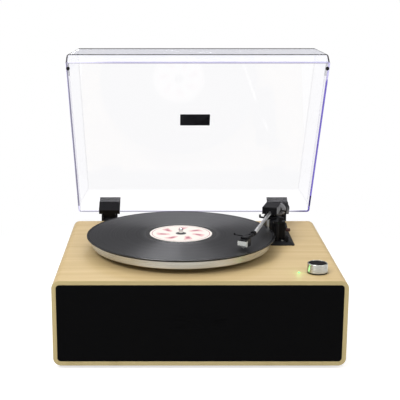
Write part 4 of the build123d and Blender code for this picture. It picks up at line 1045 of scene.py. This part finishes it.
@dataclass
class GrilleFront:
    """The cloth over its ribbed frame, and what is behind it."""

    wall: float = 0.7 * MM
    roll: float = 1.0 * MM
    corner: float = 5.0 * MM
    rings: int = 14

    def build(self) -> None:
        """Makes the cloth and dresses the parts behind it."""
        dress(["grille_frame", "speaker_baskets"], Moulding("grille_plastic", gloss=0.55))
        dress(["speaker_cones"], Felt("paper_cone", (0.03, 0.03, 0.031)))
        dress(["speaker_surrounds"], Moulding("surround_rubber", gloss=0.5, pits=1200.0))
        dress(["speaker_magnets"], Metal("magnet_iron", (0.10, 0.10, 0.10), 0.5))
        self.cloth()

    def cloth(self) -> None:
        """The stretched cloth: rounded rectangles shrink to the middle of the face and run back at its edge.

        On the face the depth is nil. At the edge a quarter circle of the roll leads into the straight side,
        which ends at the back of the frame. Solidify gives it its wall inwards.
        """
        low, high = (np.array(c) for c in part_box("grille_cloth"))
        width, depth, height = high - low
        centre = np.array([(low[0] + high[0]) / 2, low[1], (low[2] + high[2]) / 2])
        edge = rounded_frame(width, height, self.corner)
        face = rounded_frame(width - 2 * self.roll, height - 2 * self.roll, self.corner - self.roll)
        shares = np.linspace(0, 1, self.rings + 1)[1:] ** 0.8
        loops = [np.insert(face * share, 1, 0.0, 1) for share in shares]
        for a in np.linspace(0, math.pi / 2, 6)[1:]:
            loops.append(np.insert(face + (edge - face) * math.sin(a), 1, self.roll * (1 - math.cos(a)), 1))
        loops += [np.insert(edge, 1, back, 1) for back in (depth * 0.5, depth)]
        points = np.concatenate([*loops, np.zeros((1, 3))]) + centre
        cap = fan(len(points) - 1, np.arange(len(face)), True)
        skin = Surface(points, ring_quads(len(loops), len(face)), cap)
        finish = SpeakerCloth("speaker_cloth")
        piece = make_piece("stretched_cloth", skin.mesh(60.0), finish, "cabinet")
        wall = piece.modifiers.new("wall", "SOLIDIFY")
        wall.thickness = self.wall
        wall.offset = -1.0
        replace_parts(piece, "grille_cloth")


@dataclass
class Turntable:
    """The platter with its mat, record and label, and the drive under it."""

    record_radius: float = 150.8 * MM
    label_radius: float = 50.0 * MM
    mat_radius: float = 147.0 * MM
    mat_soft: float = 0.8 * MM
    hole: float = 3.65 * MM
    tracks: tuple[float, ...] = (146.2, 128.5, 112.0, 97.5, 80.0, 61.5)
    gap: float = 0.9 * MM
    dip: float = 0.35 * MM
    ripple: float = 0.02 * MM
    step_rise: float = 0.08 * MM
    segments: int = 240

    def build(self) -> None:
        """Dresses the platter and drive, and makes the mat and the grooved record."""
        x, y, _ = middle("spindle")
        spot = (x, y, 0.0)
        rim = Metal(
            "platter_aluminium", (0.64, 0.63, 0.58), 0.3, Lay.ROUND_Z, spot, depth=0.002 * MM, stretch=0.9
        )
        dress(["platter"], rim)
        dress(["spindle"], Metal("spindle_steel", (0.7, 0.7, 0.7), 0.15, Lay.ROUND_Z, spot))
        dress(["bearing_housing"], Metal("bearing_steel", (0.5, 0.5, 0.5), 0.3, Lay.ROUND_Z, spot))
        dress(["motor_body", "motor_plate", "motor_pulley"], Metal("drive_steel", (0.5, 0.5, 0.5), 0.32))
        dress(["drive_belt", "motor_grommets"], Moulding("belt_rubber", (0.012, 0.012, 0.012), 0.7, 1500.0))
        dress(["record_label"], PrintedLabel("printed_label", spot))
        self.mat(spot)
        self.record(spot)

    def mat(self, spot: Point) -> None:
        """A felt ring with soft edges, laid on the platter.

        Args:
            spot: where the platter's axis stands.
        """
        low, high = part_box("slip_mat")[0][2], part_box("slip_mat")[1][2]
        inner, outer, soft = self.hole, self.mat_radius, self.mat_soft
        profile = [
            (inner + soft, low), (outer - soft, low), (outer, low + soft), (outer, high - soft),
            (outer - soft, high), (inner + soft, high), (inner, high - soft), (inner, low + soft),
        ]
        skin = turned(profile, 160, closed=True).placed(spot)
        piece = make_piece("felt_mat", skin.mesh(80.0), Felt("mat_felt"), "platter")
        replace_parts(piece, "slip_mat")

    def record(self, spot: Point) -> None:
        """The record as a turned skin: raised edge, sunk tracks with quiet steps between, raised middle.

        On the grooved part the height is the dip, and rises by a part of it on the quiet steps, with fine
        rings at each millimetre from a cosine of the radius.

        Args:
            spot: where the platter's axis stands.
        """
        low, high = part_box("record")[0][2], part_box("record")[1][2]
        edge, label, floor = self.record_radius, self.label_radius, high - self.dip
        radii = np.arange(146.6, 55.4, -0.5) * MM
        quiet = np.min(np.abs(radii[:, None] - np.array(self.tracks) * MM), axis=1)
        step = np.clip(1 - quiet / self.gap, 0, 1)
        rings = floor + self.ripple * np.cos(radii / MM * TURN) * (1 - step) + self.step_rise * step
        outside = [
            (self.hole, low), (edge - 0.8 * MM, low), (edge - 0.2 * MM, low + 0.3 * MM),
            (edge, low + 0.7 * MM), (edge, high - 0.6 * MM), (edge - 0.25 * MM, high - 0.25 * MM),
            (edge - 0.8 * MM, high - 0.1 * MM), (edge - 2.4 * MM, high - 0.1 * MM), (edge - 3.6 * MM, floor),
        ]
        inside = [
            (label + 5.0 * MM, floor), (label + 3.0 * MM, high - 0.06 * MM), (label + 2.0 * MM, high),
            (self.hole, high),
        ]
        profile = np.concatenate([outside, np.stack([radii, rings], -1), inside])
        skin = turned(profile, self.segments, closed=True).placed(spot)
        vinyl = Vinyl("pressed_vinyl", spot)
        piece = make_piece("grooved_record", skin.mesh(25.0), vinyl, "platter")
        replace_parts(piece, "record")


@dataclass
class Tonearm:
    """The arm with its tower, lift, rest and weights."""

    sleeve_radius: float = 2.85 * MM
    sleeve_length: float = 7.2 * MM
    sleeve_ribs: int = 5
    rib_depth: float = 0.12 * MM
    lever_radius: float = 2.6 * MM
    mark_height: float = 3.4 * MM
    mark_wall: float = 0.04 * MM
    mark_gap: float = 4.4 * MM
    mark_step: float = 2.4 * MM
    plate_top: float = 140.1 * MM

    def build(self) -> None:
        """Dresses the arm's nodes and adds the lever's sleeve and the speed numbers."""
        black = (0.007, 0.007, 0.008)
        arm_parts = [
            "arm_base_plate", "arm_tower", "arm_rest", "arm_clip", "arm_yoke", "lift_bar", "cue_lever",
            "speed_selector",
        ]
        dress(arm_parts, Moulding("arm_plastic", black, 0.38, depth=0.005 * MM, shine=0.08))
        # painted highlight: the hood's wide edges are painted many times lighter
        hood = Moulding(
            "hood_plastic", black, 0.34, depth=0.003 * MM, edge=1.6 * MM, shine=0.08, lift=11.0
        )
        dress(["arm_hood"], hood)
        paint = Moulding("headshell_paint", (0.006, 0.006, 0.007), 0.34, 3500.0, 0.003 * MM, shine=0.08)
        dress(["headshell", "pivot_bearing", "finger_lift"], paint)
        dress(["counterweight"], Moulding("weight_paint", black, 0.34, depth=0.004 * MM, shine=0.08))
        # painted highlight: lift sets how much lighter the dial's corners are painted
        dress(["weight_dial"], Moulding("dial_plastic", (0.22, 0.22, 0.23), 0.4, lift=1.3))
        dress(["cartridge"], Moulding("cartridge_body", (0.012, 0.012, 0.013), 0.3))
        # painted highlight: lift sets how much lighter the stylus's corners are painted
        dress(["stylus"], Moulding("stylus_plastic", (0.62, 0.63, 0.60), 0.3, lift=1.15))
        tube = Metal("arm_aluminium", (0.93, 0.93, 0.92), 0.34, depth=0.001 * MM)
        dress(["arm_tube", "lift_damper"], tube)
        self.sleeve()
        self.speed_marks()

    def sleeve(self) -> None:
        """A ribbed rubber sleeve on the lever's grip: a profile with five waves of a cosine, round X."""
        low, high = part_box("cue_lever")
        t = np.linspace(0, 1, 41)
        body = self.sleeve_radius - self.rib_depth * (1 - np.cos(TURN * self.sleeve_ribs * t))
        rim = np.clip(np.minimum(t, 1 - t) / 0.06, 0, 1) ** 0.5
        profile = np.stack([body * rim, (t - 0.5) * self.sleeve_length], -1)
        profile[0, 0] = profile[-1, 0] = 0.0
        x = high[0] - self.sleeve_length / 2 + 0.05 * MM
        spot = (x, low[1] + self.lever_radius, low[2] + self.lever_radius)
        skin = turned(profile, 36).placed(spot, RIGHT, UP)
        rubber = Moulding("sleeve_rubber", (0.05, 0.02, 0.018), 0.6)
        make_piece("lever_sleeve", skin.mesh(), rubber, "cue")

    def speed_marks(self) -> None:
        """The two speeds beside the selector, as flat printed numbers."""
        ink = Moulding("print_ink", (0.62, 0.61, 0.56), 0.6, depth=0.004 * MM)
        low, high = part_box("speed_selector")
        x, y, z = low[0] - self.mark_gap, (low[1] + high[1]) / 2, self.plate_top + self.mark_wall
        for word, way in (("33", -1), ("45", 1)):
            text = bpy.data.curves.new("speed_" + word, "FONT")
            text.body = word
            text.size = self.mark_height
            text.align_x = "CENTER"
            text.align_y = "CENTER"
            text.extrude = self.mark_wall
            made = link("speed_curve_" + word, text)
            bpy.context.view_layer.update()
            shown = made.evaluated_get(bpy.context.evaluated_depsgraph_get())
            mesh = bpy.data.meshes.new_from_object(shown)
            bpy.data.objects.remove(made)
            mesh.transform(Matrix.Translation((x, y + way * self.mark_step, z)))
            make_piece("speed_mark_" + word, mesh, ink, "cabinet")


@dataclass
class Controls:
    """The volume knob on its shaft, the power light and the board behind them."""

    def build(self) -> None:
        """Dresses the knob with marks turned round its axis, lights the lens and dresses the board."""
        x, y, _ = middle("volume_knob")
        spot = (x, y, 0.0)
        side = Metal(
            "knob_aluminium", (0.62, 0.62, 0.58), 0.24, Lay.ROUND_Z, spot, depth=0.001 * MM, stretch=0.95
        )
        dress(["volume_knob"], side)
        cap = Moulding("knob_cap_plastic", (0.006, 0.005, 0.006), 0.4, depth=0.004 * MM, shine=0.04)
        dress(["knob_cap"], cap)
        dress(["knob_skirt"], Moulding("knob_skirt_plastic", gloss=0.5))
        dress(["knob_shaft", "volume_control"], Metal("control_steel", (0.55, 0.55, 0.55), 0.28))
        dress(["power_light"], Lens("green_lens"))
        dress(["circuit_board"], CircuitBoard("circuit_board"))
        dress(["heat_sink"], Metal("sink_aluminium", (0.5, 0.5, 0.5), 0.4))
        dress(["board_parts"], Moulding("board_part_plastic", (0.015, 0.015, 0.018), 0.35))


@dataclass
class DustCover:
    """The clear cover with its blank plate, bumpers and hinges."""

    def build(self) -> None:
        """Dresses the cover and hinges."""
        _, y, z = middle("hinge_pins")
        dress(["dust_cover"], Acrylic("clear_acrylic", (0.0, float(y), float(z))))
        plate = Moulding("plate_gloss", (0.017, 0.018, 0.021), 0.22, depth=0.002 * MM, edge=0.3 * MM)
        dress(["lid_plate"], plate)
        dress(["lid_bumpers"], Moulding("bumper_rubber", gloss=0.7))
        dress(["hinge_clips", "hinge_brackets"], Moulding("hinge_plastic", gloss=0.5, shine=0.05))
        dress(["hinge_pins"], Metal("hinge_steel", (0.55, 0.55, 0.55), 0.25))


# Studio
@dataclass(frozen=True)
class Lamp:
    """A square lamp that faces a point, with its side in metres and its power in watts."""

    name: str
    place: Point
    aim: Point
    size: float
    power: float

    def build(self) -> None:
        """Puts the lamp into the scene."""
        data = bpy.data.lights.new(self.name, "AREA")
        data.size = self.size
        data.energy = self.power
        lamp = link(self.name, data)
        lamp.location = self.place
        way = Vector(self.aim) - Vector(self.place)
        lamp.rotation_euler = way.to_track_quat("-Z", "Y").to_euler()


@dataclass
class Studio:
    """A white floor and backdrop, soft lamps and the camera."""

    floor_half: float = 4.0
    lamps: tuple[Lamp, ...] = (
        Lamp("key", (-0.9, -1.1, 1.7), (0.0, -0.02, 0.1), 0.9, 24.0),
        Lamp("fill", (1.3, -0.9, 1.2), (0.0, -0.02, 0.1), 0.6, 5.0),
        Lamp("top", (0.0, 0.1, 1.9), (0.0, 0.0, 0.1), 1.6, 11.0),
        Lamp("ridge", (-0.05, 1.35, 1.2), (0.0, 0.0, 0.15), 0.4, 3.6),
    )
    glow_colour: Rgb = (0.30, 1.0, 0.34)
    glow_power: float = 0.0022
    glow_above: float = 5.0 * MM
    camera_x: float = -0.04693
    camera_back: float = 1.33294
    camera_z: float = 0.56667
    look: float = 76.84
    lens: float = 87.26
    shift: float = 0.0809

    def build(self) -> None:
        """Builds floor, world, lamps and camera."""
        self.floor()
        self.world()
        for lamp in self.lamps:
            lamp.build()
        self.glow()
        self.camera()
        bpy.context.scene.view_settings.view_transform = "Standard"

    def floor(self) -> None:
        """A level square with the shadow near the object and plain white, like the backdrop, further off."""
        half = self.floor_half
        points = [(-half, -half, 0), (half, -half, 0), (half, half, 0), (-half, half, 0)]
        mesh = bpy.data.meshes.new("floor")
        mesh.from_pydata(points, [], [[0, 1, 2, 3]])
        made = bpy.data.materials.new("floor_white")
        made.use_nodes = True
        tree = Tree(made.node_tree)
        place = tree.place()
        grain = tree.mix(tree.noise(place, 40.0), (0.52, 0.52, 0.52), (0.55, 0.55, 0.55))
        plain = tree.add("BsdfDiffuse", {0: grain}).outputs[0]
        glow = tree.add("Emission", {0: WHITE, 1: 0.66}).outputs[0]
        white = tree.add("Emission", {0: WHITE, 1: 1.0}).outputs[0]
        rays = tree.add("LightPath").outputs
        seen = tree.math("MAXIMUM", rays["Is Glossy Ray"], rays["Is Transmission Ray"])
        seen = tree.math("MAXIMUM", rays["Is Camera Ray"], seen)
        lit = tree.add("AddShader", {0: plain, 1: glow}).outputs[0]
        distance = tree.add("VectorMath", {0: place}, operation="LENGTH").outputs["Value"]
        shown = tree.add("MixShader", {0: tree.span(distance, 0.35, 0.7), 1: lit, 2: white}).outputs[0]
        tree.finish(tree.add("MixShader", {0: seen, 1: plain, 2: shown}).outputs[0])
        mesh.materials.append(made)
        link("floor", mesh)

    def world(self) -> None:
        """White where it is seen, dimmer behind the camera in reflections, and soft light otherwise."""
        world = bpy.data.worlds.new("studio")
        bpy.context.scene.world = world
        world.use_nodes = True
        tree = Tree(world.node_tree)
        _, y, z = tree.apart(tree.add("TexCoord").outputs["Generated"])
        low = tree.span(z, 0.25, 0.75, 0.22, 1.0)
        back = tree.math("MAXIMUM", low, tree.times(tree.span(y, 0.2, -0.3), 0.65))
        rays = tree.add("LightPath").outputs
        plain, mirrored, shown = (
            tree.add("Background", {0: WHITE, 1: strength}).outputs[0] for strength in (0.55, back, 1.0)
        )
        first = tree.add("MixShader", {0: rays["Is Glossy Ray"], 1: plain, 2: mirrored}).outputs[0]
        seen = tree.math("MAXIMUM", rays["Is Camera Ray"], rays["Is Transmission Ray"])
        last = tree.add("MixShader", {0: seen, 1: first, 2: shown}).outputs[0]
        tree.add("OutputWorld", {"Surface": last})

    def glow(self) -> None:
        """The power light's shine on the deck, as a tiny green lamp just over the lens."""
        data = bpy.data.lights.new("power_glow", "POINT")
        data.color = self.glow_colour
        data.energy = self.glow_power
        data.shadow_soft_size = 4.0 * MM
        lamp = link("power_glow", data)
        lamp.visible_camera = False
        x, y, _ = middle("power_light")
        lamp.location = (x, y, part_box("power_light")[1][2] + self.glow_above)

    def camera(self) -> None:
        """The camera at the photograph's height and angle."""
        data = bpy.data.cameras.new("camera")
        data.sensor_width = 36.0
        data.lens = self.lens
        data.shift_x = self.shift
        camera = link("camera", data)
        camera.location = (self.camera_x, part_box("cabinet_shell")[0][1] - self.camera_back, self.camera_z)
        camera.rotation_euler = (math.radians(self.look), 0.0, 0.0)
        bpy.context.scene.camera = camera


def main() -> None:
    """Builds every sub-assembly."""
    logging.basicConfig(level=logging.INFO, format="%(name)s: %(message)s")
    for assembly in (Case, GrilleFront, Turntable, Tonearm, Controls, DustCover, Screws, Studio):
        log.info("building %s", assembly.__name__)
        assembly().build()


if __name__ == "__main__":
    main()
